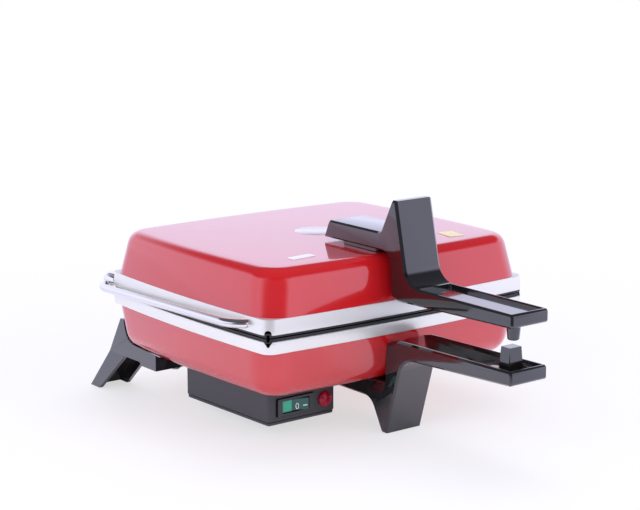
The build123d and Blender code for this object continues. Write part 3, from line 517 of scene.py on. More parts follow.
def cut(mesh: Mesh, cutters: Iterable[Mesh], angle: float = HARD_ANGLE) -> Mesh:
    """Take closed cutters out of a closed mesh.

    Args:
        mesh: The mesh to cut.
        cutters: Closed meshes.
        angle: Edges sharper than this, in degrees, stay hard.

    Returns:
        A new mesh.
    """
    target = placed("cut_target", mesh)
    tools = [placed("cut_tool", cutter) for cutter in cutters]
    for tool in tools:
        modifier = target.modifiers.new("cut", "BOOLEAN")
        modifier.operation = "DIFFERENCE"
        modifier.solver = "EXACT"
        modifier.object = tool
    result = evaluated(target)
    for tool in tools:
        bpy.data.objects.remove(tool)
    return smooth(result, angle)


# A limit, in millimetres, beyond every corner.
FAR = 400.0


@dataclass(frozen=True)
class Shift:
    """Move of the corners between two limits, all in millimetres, growing over a ramp of height."""

    move: Triple
    low: Triple = (-FAR, -FAR, -FAR)
    high: Triple = (FAR, FAR, FAR)
    ramp: float = 0.001

    def apply(self, form: bmesh.types.BMesh) -> None:
        """Move the corners.

        Args:
            form: The form that they belong to.
        """
        for corner in form.verts:
            if all(a * MM <= value <= b * MM for a, value, b in zip(self.low, corner.co, self.high)):
                share = min(1.0, (corner.co.z / MM - self.low[2]) / self.ramp)
                corner.co += Vector(self.move) * MM * share


def refined_copy(node: str, bevel: float, shifts: Sequence[Shift]) -> Mesh:
    """Copy a CAD node, join its triangles and ease its hard edges.

    Args:
        node: The CAD node.
        bevel: Width of the eased edges, in metres.
        shifts: Moves of corners, done one after another.

    Returns:
        The finished mesh.
    """
    mesh = frame["nodes"][node].data.copy()
    form = bmesh.new()
    form.from_mesh(mesh)
    bmesh.ops.remove_doubles(form, verts=form.verts, dist=CAD_WELD)
    bmesh.ops.dissolve_limit(form, angle_limit=radians(FLAT_ANGLE), verts=form.verts, edges=form.edges)
    for shift in shifts:
        shift.apply(form)
    form.to_mesh(mesh)
    form.free()
    holder = placed("refined", smooth(mesh, MOULDING_ANGLE))
    modifier = holder.modifiers.new("ease", "BEVEL")
    modifier.harden_normals = True
    modifier.width = bevel
    modifier.segments = EASED_STEPS
    modifier.limit_method = "ANGLE"
    modifier.angle_limit = radians(EASED_ANGLE)
    return evaluated(holder)


def marked_points(points: Iterable[Sequence[float]], edges: Sequence[tuple[int, int]], label: str,
                  values: Sequence[float]) -> Mesh:
    """Make a mesh of points and edges whose points carry a value.

    Args:
        points: The points.
        edges: Pairs of points.
        label: Name of the value.
        values: The value of each point.

    Returns:
        The mesh.
    """
    mesh = bpy.data.meshes.new("points")
    mesh.from_pydata([tuple(point) for point in points], edges, [])
    mesh.attributes.new(label, "FLOAT", "POINT").data.foreach_set("value", values)
    return mesh


class GeometryTree:
    """Geometry Nodes tree with named inputs, run once on a mesh."""

    def __init__(self, name: str) -> None:
        """Make an empty tree with a geometry input and output.

        Args:
            name: The tree's name.
        """
        self.tree = bpy.data.node_groups.new(name, "GeometryNodeTree")
        for way in ("INPUT", "OUTPUT"):
            self.tree.interface.new_socket("Geometry", in_out=way, socket_type="NodeSocketGeometry")
        self.identifiers: dict[str, str] = {}
        self.start = self.tree.nodes.new("NodeGroupInput")
        self.end = self.tree.nodes.new("NodeGroupOutput")

    def input(self, name: str, kind: str) -> NodeSocket:
        """Add a named input.

        Args:
            name: Its name.
            kind: The type of its socket, without the words that all types share.

        Returns:
            The socket that gives it inside the tree.
        """
        made = self.tree.interface.new_socket(name, in_out="INPUT", socket_type=f"NodeSocket{kind}")
        self.identifiers[name] = made.identifier
        return self.start.outputs[name]

    def node(self, kind: str, settings: dict[str, str] | None = None, **inputs: object) -> bpy.types.Node:
        """Add a node.

        Args:
            kind: The node's type.
            settings: Its properties.
            **inputs: Values or sockets of its inputs; an underscore stands for a space.

        Returns:
            The node.
        """
        made = self.tree.nodes.new(kind)
        for key, value in (settings or {}).items():
            setattr(made, key, value)
        for key, value in inputs.items():
            socket = made.inputs[key.replace("_", " ")]
            if isinstance(value, NodeSocket):
                self.tree.links.new(value, socket)
            else:
                socket.default_value = value
        return made

    def label(self, name: str) -> NodeSocket:
        """Value that the points carry under a name."""
        return self.node("GeometryNodeInputNamedAttribute", {"data_type": "FLOAT"}, Name=name).outputs[0]

    def run(self, geometry: NodeSocket, base: Mesh, finish: Finish,
            **values: object) -> Mesh:
        """End the tree and run it.

        Args:
            geometry: The socket with the finished geometry.
            base: The mesh that the tree starts from.
            finish: The finish of the result.
            **values: Values of the named inputs; an underscore stands for a space.

        Returns:
            The plain mesh.
        """
        material = self.input("Finish", "Material")
        solid = self.node("GeometryNodeRealizeInstances", Geometry=geometry)
        dressed = self.node("GeometryNodeSetMaterial", Geometry=solid.outputs[0], Material=material)
        self.tree.links.new(dressed.outputs[0], self.end.inputs[0])
        holder = placed("tree_holder", base)
        modifier = holder.modifiers.new("tree", "NODES")
        modifier.node_group = self.tree
        modifier[self.identifiers["Finish"]] = finish.material()
        for name, value in values.items():
            modifier[self.identifiers[name.replace("_", " ")]] = value
        return evaluated(holder)


@dataclass
class BodyPlan:
    """Plan of the body: a rectangle with bowed edges and round corners, in metres."""

    half_width: float = 109.3 * MM
    half_depth: float = 93.3 * MM
    side_bow: float = 3.65 * MM
    front_bow: float = 4.0 * MM
    shell_corner: float = 18.3 * MM
    band_corner: float = 6.5 * MM
    corner_steps: int = 14
    side_steps: int = 18

    def ring(self, height: float, inset: float, corner: float) -> Ring:
        """Draw the outline at a height.

        Args:
            height: Its Z.
            inset: How far it is drawn in from the bands' narrow edge.
            corner: Its corner radius.

        Returns:
            The outline's points.
        """
        half = Vector((self.half_width - inset, self.half_depth - inset))
        outline = rounded(half, corner, self.corner_steps, self.side_steps)
        return [self._bowed(point, point.x / half.x, point.y / half.y, height) for point in outline]

    def _bowed(self, point: Vector, x: float, y: float, height: float) -> Vector:
        """Move a point out to the bowed outline, given its share of the half width and depth."""
        return Vector((point.x + self.side_bow * x * (1 - y * y),
                       point.y + self.front_bow * y * (1 - x * x), height))


@dataclass
class PressedShell:
    """Pan or lid pressed from sheet."""

    plan: BodyPlan
    rim_z: float
    closed_z: float
    draft: float
    rounding: float
    crown: float = 0.3 * MM
    sheet: float = 1.2 * MM
    rim_gap: float = 0.1 * MM
    least_corner: float = 1.5 * MM
    wall_steps: int = 6
    round_steps: int = 12
    top_steps: int = 16

    def rings(self, depth: float) -> list[Ring]:
        """Draw rings from the rim to the middle of the closed end.

        Args:
            depth: How far the surface lies inside the sheet's outer face.

        Returns:
            The rings, the last one drawn in to a point.
        """
        side = 1 if self.closed_z > self.rim_z else -1
        radius = self.rounding - depth
        height = abs(self.closed_z - self.rim_z) - depth
        slope = atan2(self.draft, abs(self.closed_z - self.rim_z))
        corner = self.plan.shell_corner - depth
        tangent = radius * tan((pi / 2 - slope) / 2)
        wall_top = height - tangent * cos(slope)
        made: list[Ring] = []
        for step in range(self.wall_steps + 1):
            rise = wall_top * step / self.wall_steps
            inset = self.rim_gap + depth + rise * tan(slope)
            made.append(self.plan.ring(self.rim_z + side * rise, inset, corner))
        wall_inset = inset
        center_inset = self.draft + self.rim_gap + depth + tangent
        for step in range(1, self.round_steps + 1):
            angle = slope + (pi / 2 - slope) * step / self.round_steps
            inset = center_inset - radius * cos(angle)
            rise = height - radius + radius * sin(angle)
            turned = max(corner - (inset - wall_inset), self.least_corner)
            made.append(self.plan.ring(self._crowned(rise, 0.0, side), inset, turned))
        edge = made[-1]
        for step in range(1, self.top_steps + 1):
            share = step / self.top_steps
            z = self._crowned(height, share, side)
            made.append([Vector((point.x * (1 - share), point.y * (1 - share), z)) for point in edge])
        return made

    def _crowned(self, rise: float, share: float, side: int) -> float:
        """Height of a point of the closed end, which is highest in its middle."""
        return self.rim_z + side * (rise - self.crown * (1 - share) ** 2)

    def mesh(self) -> Mesh:
        """Closed mesh of the pressed sheet."""
        return ring_mesh([*self.rings(0.0), *reversed(self.rings(self.sheet))], closed=True)


@dataclass
class Band:
    """Chrome band: a flared wall with rolled edges, an inward flange and two front notches."""

    plan: BodyPlan
    edge_z: float
    rim_z: float
    notch_width: float
    notch_tip: float
    notch_height: float
    flare: float = 0.94 * MM
    sheet: float = 1.2 * MM
    flange: float = 6.7 * MM
    flange_thickness: float = 1.0 * MM
    roll: float = 0.45 * MM
    roll_steps: int = 4
    notch_reach: float = 12.0 * MM
    notch_steps: int = 24

    def rings(self) -> list[Ring]:
        """Draw rings once round the band's section.

        Returns:
            The rings, from the open edge up the outside and back down the inside.
        """
        side = 1 if self.rim_z > self.edge_z else -1
        height = abs(self.rim_z - self.edge_z)
        turned = [pi / 2 * step / self.roll_steps for step in range(self.roll_steps + 1)]
        rolls = [(self.roll * (1 - sin(angle)), self.roll * (1 - cos(angle))) for angle in turned]
        section = [(inset - self.flare, rise) for inset, rise in rolls]
        section.append((-self.flare / 2, height / 2))
        section += [(inset, height - rise) for rise, inset in rolls]
        rings = [self._ring(inset, rise, side) for inset, rise in section]
        under = height - self.flange_thickness
        for rise in (height, under):
            corner = self.plan.shell_corner - self.flange
            rings.append(self.plan.ring(self.edge_z + side * rise, self.flange, corner))
        rings.append(self._ring(self.sheet, under, side))
        rings.append(self._ring(self.sheet - self.flare, 0.0, side))
        return rings

    def _ring(self, inset: float, rise: float, side: int) -> Ring:
        """Outline of the band's wall at a height above its edge."""
        return self.plan.ring(self.edge_z + side * rise, inset, self.plan.band_corner - inset)

    def notch(self, side: int) -> Mesh:
        """Make the cutter of a front corner's notch, along the corner's diagonal, with a round end.

        Args:
            side: 1 for the right corner and -1 for the left one.

        Returns:
            The cutter.
        """
        up = 1 if self.rim_z > self.edge_z else -1
        tip_height = self.notch_height - self.notch_tip
        turned = [pi * step / self.notch_steps for step in range(self.notch_steps + 1)]
        outline = [(self.notch_tip * cos(angle), tip_height + self.notch_tip * sin(angle))
                   for angle in turned]
        half = self.notch_width / 2
        outline += [(-half, 0), (-half, -self.notch_height), (half, -self.notch_height), (half, 0)]
        across = Vector((1, side, 0)).normalized()
        out = Vector((side, -1, 0)).normalized()
        inset = self.plan.band_corner
        start = Vector((side * (self.plan.half_width - inset), inset - self.plan.half_depth, self.edge_z))
        return ring_mesh([
            [start + across * x + Vector((0, 0, up * y)) + out * reach for x, y in outline]
            for reach in (0.0, self.notch_reach)
        ])

    def mesh(self) -> Mesh:
        """Closed mesh of the band with its notches."""
        return cut(ring_mesh(self.rings(), closed=True), [self.notch(-1), self.notch(1)])


@dataclass
class ShellSet:
    """Pan and lid with their chrome bands."""

    plan: BodyPlan = field(default_factory=BodyPlan)
    pan_rim_z: float = 67.8 * MM
    pan_draft: float = 4.1 * MM
    pan_rounding: float = 15.5 * MM
    lid_rim_z: float = 90.23 * MM
    lid_draft: float = 5.6 * MM
    lid_rounding: float = 9.3 * MM
    upper_notch: Triple = (4.6 * MM, 2.3 * MM, 3.1 * MM)
    lower_notch: Triple = (5.7 * MM, 1.1 * MM, 3.6 * MM)

    def build(self) -> None:
        """Make the two shells and the two bands."""
        pan = PressedShell(self.plan, self.pan_rim_z, PAN_BOTTOM_Z, self.pan_draft, self.pan_rounding)
        lid = PressedShell(self.plan, self.lid_rim_z, LID_TOP_Z, self.lid_draft, self.lid_rounding)
        lower = Band(self.plan, SPLIT_Z - HALF_GAP, self.pan_rim_z, *self.lower_notch)
        upper = Band(self.plan, SPLIT_Z + HALF_GAP, self.lid_rim_z, *self.upper_notch)
        piece("pressed_pan", pan.mesh(), Slot.RED_PAINT, Body.BASE, "base_shell")
        piece("pressed_lid", lid.mesh(), Slot.RED_PAINT, Body.LID, "lid_shell")
        piece("band_lower", lower.mesh(), Slot.CHROME, Body.BASE, "base_band", finish=BAND_FINISH)
        piece("band_upper", upper.mesh(), Slot.CHROME, Body.LID, "lid_band", finish=BAND_FINISH)


@dataclass
class WireBail:
    """Bent wire whose ends are the lid's pins and whose back bar is the hinge."""

    radius: float = 2.75 * MM
    bar_y: float = 106.0 * MM
    pin_y: float = -75.0 * MM
    pin_rise: float = 7.3 * MM
    pin_inner_x: float = 104.0 * MM
    pin_bend_x: float = 113.5 * MM
    arm_front_x: float = 121.5 * MM
    arm_rear_x: float = 115.8 * MM
    arm_bend_run: float = 7.5 * MM
    pin_bend: float = 5.0 * MM
    arm_bend: float = 18.0 * MM
    rear_bend: float = 18.0 * MM
    bend_steps: int = 14
    sides: int = 32
    hard_angle: float = 50.0

    def corners(self) -> list[tuple[Vector, float]]:
        """Lay out the wire's centre line.

        Returns:
            Its corner points, each with its bend radius.
        """
        pin_z = SPLIT_Z + self.pin_rise
        half = [
            (Vector((self.pin_inner_x, self.pin_y, pin_z)), 0.0),
            (Vector((self.pin_bend_x, self.pin_y, pin_z)), self.pin_bend),
            (Vector((self.arm_front_x, self.pin_y + self.arm_bend_run, pin_z)), self.arm_bend),
            (Vector((self.arm_rear_x, self.bar_y, SPLIT_Z)), self.rear_bend),
        ]
        mirrored = [(Vector((-point.x, point.y, point.z)), bend) for point, bend in half]
        return [*half, *reversed(mirrored)]

    def mesh(self) -> Mesh:
        """Sweep a tube along the centre line, its corners bent to their radii.

        Returns:
            The closed mesh.
        """
        points, bends = zip(*self.corners())
        edges = [(index, index + 1) for index in range(len(points) - 1)]
        tree = GeometryTree("bent_wire")
        radius = tree.input("Wire Radius", "Float")
        steps = tree.input("Bend Steps", "Int")
        sides = tree.input("Sides", "Int")
        line = tree.node("GeometryNodeMeshToCurve", Mesh=tree.start.outputs[0])
        bent = tree.node("GeometryNodeFilletCurve", {"mode": "POLY"}, Curve=line.outputs[0],
                         Radius=tree.label("bend"), Count=steps)
        section = tree.node("GeometryNodeCurvePrimitiveCircle", Resolution=sides, Radius=radius)
        tube = tree.node("GeometryNodeCurveToMesh", Curve=bent.outputs[0], Profile_Curve=section.outputs[0],
                         Fill_Caps=True)
        made = tree.run(tube.outputs[0], marked_points(points, edges, "bend", bends), FINISHES[Slot.CHROME],
                        Wire_Radius=self.radius, Bend_Steps=self.bend_steps, Sides=self.sides)
        return smooth(made, self.hard_angle)

    def build(self) -> None:
        """Make the bail."""
        piece("wire_bail", self.mesh(), Slot.CHROME, Body.BAIL, "bail")


@dataclass
class CrossScrews:
    """Screws with a domed head and a cross recess, set in a row of places."""

    head_radius: float = 3.8 * MM
    head_height: float = 2.2 * MM
    head_profile: tuple[Pair, ...] = (
        (0.02, 1.0), (0.35, 0.98), (0.65, 0.85), (0.88, 0.58), (0.98, 0.25), (1.0, 0.0))
    shank_radius: float = 1.95 * MM
    recess_size: Pair = (4.4 * MM, 0.8 * MM)
    recess_depth: float = 1.3 * MM
    recess_taper: Pair = (1.25, 0.7)
    head_sides: int = 24
    shank_sides: int = 16
    head_angle: float = 30.0
    screw_angle: float = 35.0

    def head(self) -> Mesh:
        """Make a head with its seat at the origin, pointing down, with the cross cut in.

        Returns:
            The mesh.
        """
        rings = []
        for share, rise in self.head_profile:
            radius = share * self.head_radius
            rings.append(oval(radius, radius, -rise * self.head_height, self.head_sides))
        levels = (-2 * self.head_height, self.recess_depth - self.head_height)
        bars = [
            ring_mesh([oblong(length / 2 * share, width / 2 * share, z)
                       for z, share in zip(levels, self.recess_taper)])
            for length, width in (self.recess_size, reversed(self.recess_size))
        ]
        return cut(ring_mesh(rings), bars, self.head_angle)

    def mesh(self, seats: Sequence[tuple[float, float, float, float]]) -> Mesh:
        """Set screws at their seats.

        Args:
            seats: X, Y and Z of each head's seat and the length of the shank above it.

        Returns:
            The mesh of all the screws.
        """
        base = marked_points([seat[:3] for seat in seats], [], "shank", [seat[3] for seat in seats])
        tree = GeometryTree("screw_row")
        head = tree.input("Head", "Object")
        radius = tree.input("Shank Radius", "Float")
        shape = tree.node("GeometryNodeObjectInfo", Object=head)
        heads = tree.node("GeometryNodeInstanceOnPoints", Points=tree.start.outputs[0],
                          Instance=shape.outputs["Geometry"])
        rod = tree.node("GeometryNodeMeshCylinder", Vertices=self.shank_sides, Radius=radius, Depth=1.0)
        lifted = tree.node("GeometryNodeTransform", Geometry=rod.outputs[0], Translation=(0.0, 0.0, 0.5))
        scale = tree.node("ShaderNodeCombineXYZ", X=1.0, Y=1.0, Z=tree.label("shank"))
        shanks = tree.node("GeometryNodeInstanceOnPoints", Points=tree.start.outputs[0],
                           Instance=lifted.outputs[0], Scale=scale.outputs[0])
        joined = tree.node("GeometryNodeJoinGeometry")
        for part in (heads, shanks):
            tree.tree.links.new(part.outputs[0], joined.inputs[0])
        holder = placed("screw_head", self.head())
        made = tree.run(joined.outputs[0], base, FINISHES[Slot.STEEL], Head=holder,
                        Shank_Radius=self.shank_radius)
        bpy.data.objects.remove(holder)
        return smooth(made, self.screw_angle)


@dataclass
class Underside:
    """Screws that show from below: plates, lower handle and rear legs."""

    boss_x: float = 58.0 * MM
    boss_y: float = 42.0 * MM
    plate_shank: float = 12.9 * MM
    handle_screw_ys: Pair = (-50.0 * MM, -70.0 * MM)
    handle_seat_z: float = 28.15 * MM
    leg_screw_x: float = 85.0 * MM
    leg_screw_ys: Pair = (50.5 * MM, 60.0 * MM)
    leg_seat_z: float = 26.2 * MM
    nut_top_z: float = 39.25 * MM

    def build(self) -> None:
        """Make the two sets of screws."""
        screws = CrossScrews()
        bosses = [(sx * self.boss_x, sy * self.boss_y, PAN_BOTTOM_Z, self.plate_shank)
                  for sx in (-1, 1) for sy in (-1, 1)]
        seats = [(0.0, y, self.handle_seat_z) for y in self.handle_screw_ys]
        seats += [(sx * self.leg_screw_x, y, self.leg_seat_z) for sx in (-1, 1) for y in self.leg_screw_ys]
        under = [(*seat, self.nut_top_z - seat[2]) for seat in seats]
        piece("plate_screw_set", screws.mesh(bosses), Slot.STEEL, Body.BASE, "plate_screws")
        piece("underside_screw_set", screws.mesh(under), Slot.STEEL, Body.BASE, "underside_screws")


@dataclass
class SwitchPanel:
    """Marks of the rocker, the flat front of its bezel and the faceted lens beside it.

    Each ring of the lens has its radius, its rise from the box and whether it is turned by half a
    facet.
    """

    box_front_y: float = -59.0 * MM
    pivot: Triple = (-62.9 * MM, -55.0 * MM, 20.2 * MM)
    tilt: float = -7.0
    rocker_half_length: float = 10.2 * MM
    rocker_front: float = 5.9 * MM
    rocker_dip: float = 1.3 * MM
    bezel_front: float = 1.2 * MM
    face_rise: float = 0.45 * MM
    face_outer: Pair = (14.6 * MM, 5.9 * MM)
    face_inner: Pair = (10.9 * MM, 4.3 * MM)
    mark_thickness: float = 0.08 * MM
    mark_drop: float = 1.0 * MM
    ring_place: float = 1.9 * MM
    ring_size: Pair = (1.2 * MM, 2.05 * MM)
    ring_stroke: float = 0.42 * MM
    ring_steps: int = 28
    bar_place: float = 7.6 * MM
    bar_size: Pair = (1.5 * MM, 0.32 * MM)
    lens_center: Pair = (-38.4 * MM, 19.9 * MM)
    lens_facets: int = 10
    lens_gap: float = 0.1 * MM
    lens_angle: float = 8.0
    lens_rings: tuple[tuple[float, float, int], ...] = (
        (3.2 * MM, -4.0 * MM, 0), (3.2 * MM, 0.0, 0), (5.5 * MM, 0.0, 0), (5.5 * MM, 1.0 * MM, 0),
        (4.7 * MM, 2.1 * MM, 1), (2.9 * MM, 3.0 * MM, 0), (1.2 * MM, 3.35 * MM, 1),
    )

    def facet_place(self, along: float) -> Matrix:
        """Place on the rocker's right facet, its Z pointing out of it.

        Args:
            along: Distance from the rocker's middle.

        Returns:
            The matrix from mark coordinates to the frame.
        """
        slope = atan2(-self.rocker_dip, self.rocker_half_length)
        middle_y = self.rocker_dip - self.rocker_front
        local = Matrix.Translation((along, middle_y + along * tan(slope), -self.mark_drop))
        local = local @ Matrix.Rotation(slope, 4, "Z") @ Matrix.Rotation(radians(90), 4, "X")
        return Matrix.Translation(self.pivot) @ Matrix.Rotation(radians(self.tilt), 4, "Z") @ local

    def marks(self) -> Mesh:
        """Make the ring and the bar, printed on the facet with a little thickness.

        Returns:
            The mesh of both.
        """
        low, high = -self.mark_thickness / 2, self.mark_thickness
        outer, inner = self.ring_size, [size - self.ring_stroke for size in self.ring_size]
        section = ((outer, low), (outer, high), (inner, high), (inner, low))
        loops = [oval(*half, z, self.ring_steps) for half, z in section]
        place = self.facet_place(self.ring_place)
        ring = ring_mesh([[place @ point for point in loop] for loop in loops], closed=True)
        place = self.facet_place(self.bar_place)
        bar = ring_mesh([[place @ point for point in oblong(*self.bar_size, z)] for z in (low, high)])
        form = bmesh.new()
        for mark in (ring, bar):
            form.from_mesh(mark)
        form.to_mesh(ring)
        form.free()
        return ring

    def bezel_face(self) -> Mesh:
        """Make the flat frame on the front of the bezel, in the box's plastic over the bezel's painted
        shade.

        Returns:
            The mesh.
        """
        x, _, z = self.pivot
        front = self.box_front_y - self.bezel_front
        top = front - self.face_rise
        section = ((self.face_outer, front), (self.face_outer, top), (self.face_inner, top),
                   (self.face_inner, front))
        return ring_mesh([
            [Vector((x + sx * half_x, y, z + sz * half_z)) for sx, sz in CORNERS]
            for (half_x, half_z), y in section
        ], closed=True)

    def lens(self) -> Mesh:
        """Make the lens with a stem behind it and rows of triangular facets in front.

        Returns:
            The mesh.
        """
        x, z = self.lens_center
        count = self.lens_facets
        points: list[Vector] = []
        for radius, rise, turned in self.lens_rings:
            y = self.box_front_y - self.lens_gap - rise
            for step in range(count):
                angle = 2 * pi * (step + turned / 2) / count
                points.append(Vector((x + radius * cos(angle), y, z + radius * sin(angle))))
        faces: list[tuple[int, ...]] = []
        for row in range(len(self.lens_rings) - 1):
            shift = self.lens_rings[row][2] - self.lens_rings[row + 1][2]
            for step in range(count):
                a, b = row * count + step, row * count + (step + 1) % count
                c, d = b + count, a + count
                if shift == 0:
                    faces.append((a, b, c, d))
                elif shift < 0:
                    faces += [(a, b, d), (b, c, d)]
                else:
                    faces += [(a, c, d), (a, b, c)]
        faces.append(tuple(range(count - 1, -1, -1)))
        faces.append(tuple(range(len(points) - count, len(points))))
        return closed_mesh(points, faces, self.lens_angle)

    def build(self) -> None:
        """Make the bezel's front, the rocker's marks and the lens."""
        piece("bezel_front", self.bezel_face(), Slot.BOX_PLASTIC, Body.BASE)
        piece("rocker_marks", self.marks(), Slot.GREEN_PLASTIC, Body.ROCKER, finish=MARK_FINISH)
        piece("lens_faceted", self.lens(), Slot.RED_LENS, Body.BASE, "lamp_lens")


@dataclass
class LidLabel:
    """Bare label on the top of the lid, a thin plate with round corners."""

    name: str
    finish: Finish
    center: Pair
    half_size: Pair
    turn: float
    corner: float = 1.0 * MM
    rise: float = 0.1 * MM
    depth: float = 0.5 * MM
    corner_steps: int = 5

    def build(self) -> None:
        """Make the label."""
        place = Matrix.Translation((*self.center, LID_TOP_Z)) @ Matrix.Rotation(radians(self.turn), 4, "Z")
        outline = rounded(Vector(self.half_size), self.corner, self.corner_steps)
        rings = [[place @ Vector((*point, z)) for point in outline] for z in (-self.depth, self.rise)]
        piece(self.name, ring_mesh(rings), Slot.DISC_METAL, Body.LID, finish=self.finish)


LABELS = (
    LidLabel("label_left", WHITE_LABEL_FINISH, (-61.3 * MM, -64.4 * MM), (9.7 * MM, 3.7 * MM), 4.5),
    LidLabel("label_right", YELLOW_LABEL_FINISH, (66.6 * MM, -65.3 * MM), (5.9 * MM, 8.6 * MM), -12.0),
)


@dataclass
class LidDisc:
    """Thin disc let into the lid, with its edge broken."""

    radius: float = 15.0 * MM
    rise: float = 0.2 * MM
    depth: float = 0.1 * MM
    edge: float = 0.3 * MM
    sides: int = 64

    def build(self) -> None:
        """Make the disc."""
        profile = ((self.radius, -self.depth), (self.radius, self.rise - self.edge / 2),
                   (self.radius - self.edge, self.rise))
        rings = [oval(radius, radius, LID_TOP_Z + z, self.sides) for radius, z in profile]
        piece("disc_inlay", ring_mesh(rings), Slot.DISC_METAL, Body.LID, "lid_disc")


@dataclass(frozen=True)
class Lamp:
    """Soft square lamp that points at the object and doesn't show in gloss, in metres and watts."""

    name: str
    place: Triple
    size: float
    power: float
    aim: Triple = (0.0, 0.0, 0.06)

    def build(self) -> None:
        """Hang the lamp."""
        data = bpy.data.lights.new(self.name, "AREA")
        data.shape = "SQUARE"
        data.size = self.size
        data.energy = self.power
        made = placed(self.name, data)
        made.location = self.place
        made.rotation_euler = (Vector(self.aim) - Vector(self.place)).to_track_quat("-Z", "Y").to_euler()
        made.visible_glossy = False


LAMPS = (
    Lamp("overhead", (0.35, 0.25, 1.5), 1.1, 8.0),
    Lamp("fill_left", (-1.3, -0.3, 0.6), 0.9, 7.0),
    Lamp("fill_front", (0.5, -1.4, 0.6), 0.9, 8.0),
)


@dataclass
class Studio:
    """Floor, world, lamps and the camera at the photograph's angle."""

    camera_place: Triple = (-0.70937, -0.92632, 0.34465)
    camera_azimuth: float = -37.58
    camera_elevation: float = 11.71
    lens: float = 96.32
    sensor: float = 36.0
    floor_size: float = 16.0
    floor_colour: Triple = (0.93, 0.925, 0.95)
    floor_roughness: float = 0.6
    floor_swing: float = 0.1
    floor_grain: float = 3.0
    floor_specular: float = 0.2
    floor_fade: Pair = (0.15, 0.62)
    floor_glow: float = 0.62
    floor_mirror: Pair = (0.14, 0.34)
    floor_dark: Pair = (0.34, 0.50)
    room_tone: Triple = (0.88, 0.88, 1.12)
    room_bright: float = 1.15
    room_light: float = 0.72
    dark_side: Triple = (-0.61, -0.79, 0.05)
    dark_cone: Pair = (0.60, 0.88)
    dark_share: float = 0.86
    ceiling_band: Pair = (0.40, 0.60)
    ceiling_share: float = 0.90

    def camera(self) -> None:
        """Make the camera."""
        data = bpy.data.cameras.new("camera")
        data.lens = self.lens
        data.sensor_width = self.sensor
        made = placed("camera", data)
        made.location = self.camera_place
        made.rotation_euler = (radians(90 - self.camera_elevation), 0, radians(self.camera_azimuth))
        bpy.context.scene.camera = made

    def floor(self) -> None:
        """Make the pale floor that takes the object's shadow and turns into plain white further out."""
        half = self.floor_size / 2
        mesh = bpy.data.meshes.new("floor")
        mesh.from_pydata([tuple(corner) for corner in oblong(half, half, 0.0)], [], [(0, 1, 2, 3)])
        shader, material = Shader.material("floor_pale")
        uneven = (shader.noise(self.floor_grain) - NOISE_MEAN) * self.floor_swing
        shader.set(Base_Color=(*self.floor_colour, 1.0), Roughness=self.floor_roughness + uneven,
                   Specular_IOR_Level=self.floor_specular)
        place = shader.place()
        distance = shader.node("VectorMath", {0: place}, "Value", operation="LENGTH")
        glossy = shader.ray("Glossy")
        dark = shader.along(place, self.dark_side).smoothstep(*self.floor_dark) * self.dark_share
        tone = shader.mix_colour(glossy, WHITE, self.room_tone)
        white = shader.node("Emission", {"Color": tone, "Strength": 1 - glossy * dark})
        seen = self.floor_glow + (1 - self.floor_glow) * distance.smoothstep(*self.floor_fade)
        factor = seen + glossy * (distance.smoothstep(*self.floor_mirror) - seen)
        surface = Wire(shader, shader.surface.outputs[0])
        mixed = shader.node("MixShader", {0: factor, 1: surface, 2: white})
        shader.join(mixed, shader.output.inputs["Surface"])
        mesh.materials.append(material)
        made = placed("floor", mesh)

    def world(self) -> None:
        """Make the room: plain white to the eye, and in gloss with a dark ceiling and one dark side."""
        made = bpy.data.worlds.new("studio")
        made.use_nodes = True
        shader = Shader(made.node_tree)
        direction = shader.node("TexCoord", output="Generated")
        height = shader.node("SeparateXYZ", {0: direction}, "Z")
        shade = 1 - shader.along(direction, self.dark_side).smoothstep(*self.dark_cone) * self.dark_share
        ceiling = 1 - height.smoothstep(*self.ceiling_band) * self.ceiling_share
        direct, glossy, through = (shader.ray(kind) for kind in ("Camera", "Glossy", "Transmission"))
        clear = glossy + through - glossy * through
        lit = clear * shade * ceiling * self.room_bright + (1 - clear) * self.room_light
        tone = shader.mix_colour(direct, self.room_tone, WHITE)
        background = shader.node("Background", {"Color": tone, "Strength": direct + (1 - direct) * lit})
        output = shader.tree.nodes.new("ShaderNodeOutputWorld")
        shader.join(background, output.inputs["Surface"])
        bpy.context.scene.world = made

    def build(self) -> None:
        """Make the whole studio."""
        self.camera()
        self.floor()
        self.world()
        for lamp in LAMPS:
            lamp.build()
        bpy.context.scene.view_settings.view_transform = "Standard"


# The switch box reaches further down, right and back than its solid, and the lip of its cover
# stands out all round.
COVER_LIP = 1.1
BOX_REACH_BACK = (0.0, 5.0, 0.0)
BOX_SHIFTS = (
    Shift((0.0, 0.0, -1.6), high=(FAR, FAR, 14.5)),
    Shift((2.2, 0.0, 0.0), low=(-36.0, -FAR, -FAR)),
    Shift(BOX_REACH_BACK, low=(-FAR, 19.0, -FAR)),
)
COVER_SHIFTS = (
    Shift((0.0, 0.0, -0.55), (-FAR, -FAR, 12.6), (FAR, FAR, 13.0)),
    *BOX_SHIFTS,
    Shift((-COVER_LIP, 0.0, 0.0), high=(-80.0, FAR, FAR)),
    Shift((COVER_LIP, 0.0, 0.0), low=(-33.0, -FAR, -FAR)),
    Shift((0.0, -COVER_LIP, 0.0), high=(FAR, -56.5, FAR)),
    Shift((0.0, COVER_LIP, 0.0), low=(-FAR, 29.0, -FAR)),
)

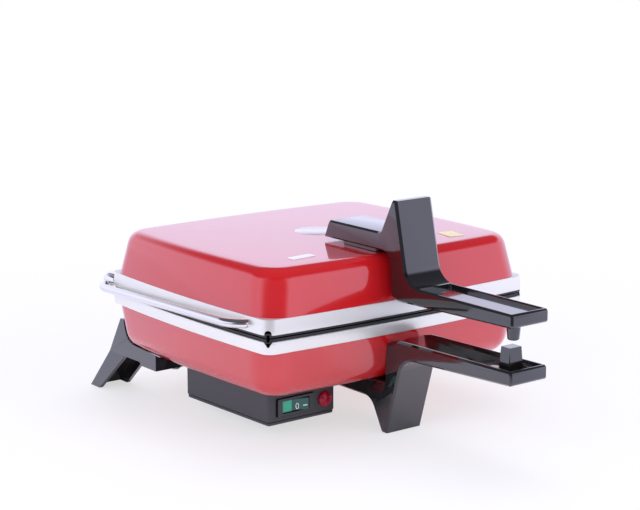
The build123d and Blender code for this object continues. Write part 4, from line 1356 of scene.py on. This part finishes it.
# The trays of both grips are shallower, and the sides of the fin are drawn in a little.
TRAY_HALF_X = 13.5
TRAY_FRONT_Y = -210.5
FIN_INSET = 0.6
FIN_RAMP = 8.0
SHIFTS = {
    "lid_handle": (
        Shift((0.0, 0.0, 2.7), (-TRAY_HALF_X, TRAY_FRONT_Y, 97.0), (TRAY_HALF_X, -124.0, 98.6)),
        Shift((FIN_INSET, 0.0, 0.0), (-14.5, -125.0, 104.0), (-13.9, -98.0, 160.0), FIN_RAMP),
        Shift((-FIN_INSET, 0.0, 0.0), (13.9, -125.0, 104.0), (14.5, -98.0, 160.0), FIN_RAMP),
    ),
    "lid_centre_screw": (Shift((0.0, 0.0, -1.1)),),
    "base_handle": (
        Shift((0.0, 0.0, 2.0), (-TRAY_HALF_X, TRAY_FRONT_Y, 60.9), (TRAY_HALF_X, -99.0, 62.2)),
    ),
    "switch_box": BOX_SHIFTS,
    "switch_box_cover": COVER_SHIFTS,
    "box_cover_screws": BOX_SHIFTS,
    "cord_gland": (Shift(BOX_REACH_BACK),),
}

# CAD nodes that get a copy with eased edges, and the width of these edges in millimetres.
EASED_NODES = {
    "base_handle": 0.55, "lid_handle": 0.55, "handle_spacer": 0.4, "closing_peg": 0.35,
    "rear_leg_left": 0.9, "rear_leg_right": 0.9, "switch_box": 0.5, "switch_box_cover": 0.35,
    "switch_bezel": 0.3, "switch_rocker": 0.4, "cord_gland": 0.4, "hinge_lug_left": 0.3,
    "hinge_lug_right": 0.3, "lid_hood_left": 0.35, "lid_hood_right": 0.35, "base_plate": 0.35,
    "lid_plate": 0.35, "box_cover_screws": 0.2, "lid_centre_screw": 0.15,
}
OWN_FINISHES = {"switch_bezel": PAINTED_SHADE_FINISH}


def main() -> None:
    """Build the studio, dress the CAD nodes and make every piece."""
    logging.basicConfig(level=logging.INFO, format="%(name)s: %(message)s")
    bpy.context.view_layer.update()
    Studio().build()
    slots = {entry["node"]: Slot(entry["material_slot"]) for entry in frame["record"]["subparts"]}
    groups = frame["record"]["behaviour"]["bodies"]
    bodies = {node: Body(body) for body, members in groups.items() for node in members}
    for node, slot in slots.items():
        dress(frame["nodes"][node], FINISHES[slot])
    for part in (ShellSet(), WireBail(), Underside(), SwitchPanel(), LidDisc(), *LABELS):
        part.build()
    for node, bevel in EASED_NODES.items():
        mesh = refined_copy(node, bevel * MM, SHIFTS.get(node, ()))
        piece(f"{node}_eased", mesh, slots[node], bodies[node], node, finish=OWN_FINISHES.get(node))


if __name__ == "__main__":
    main()
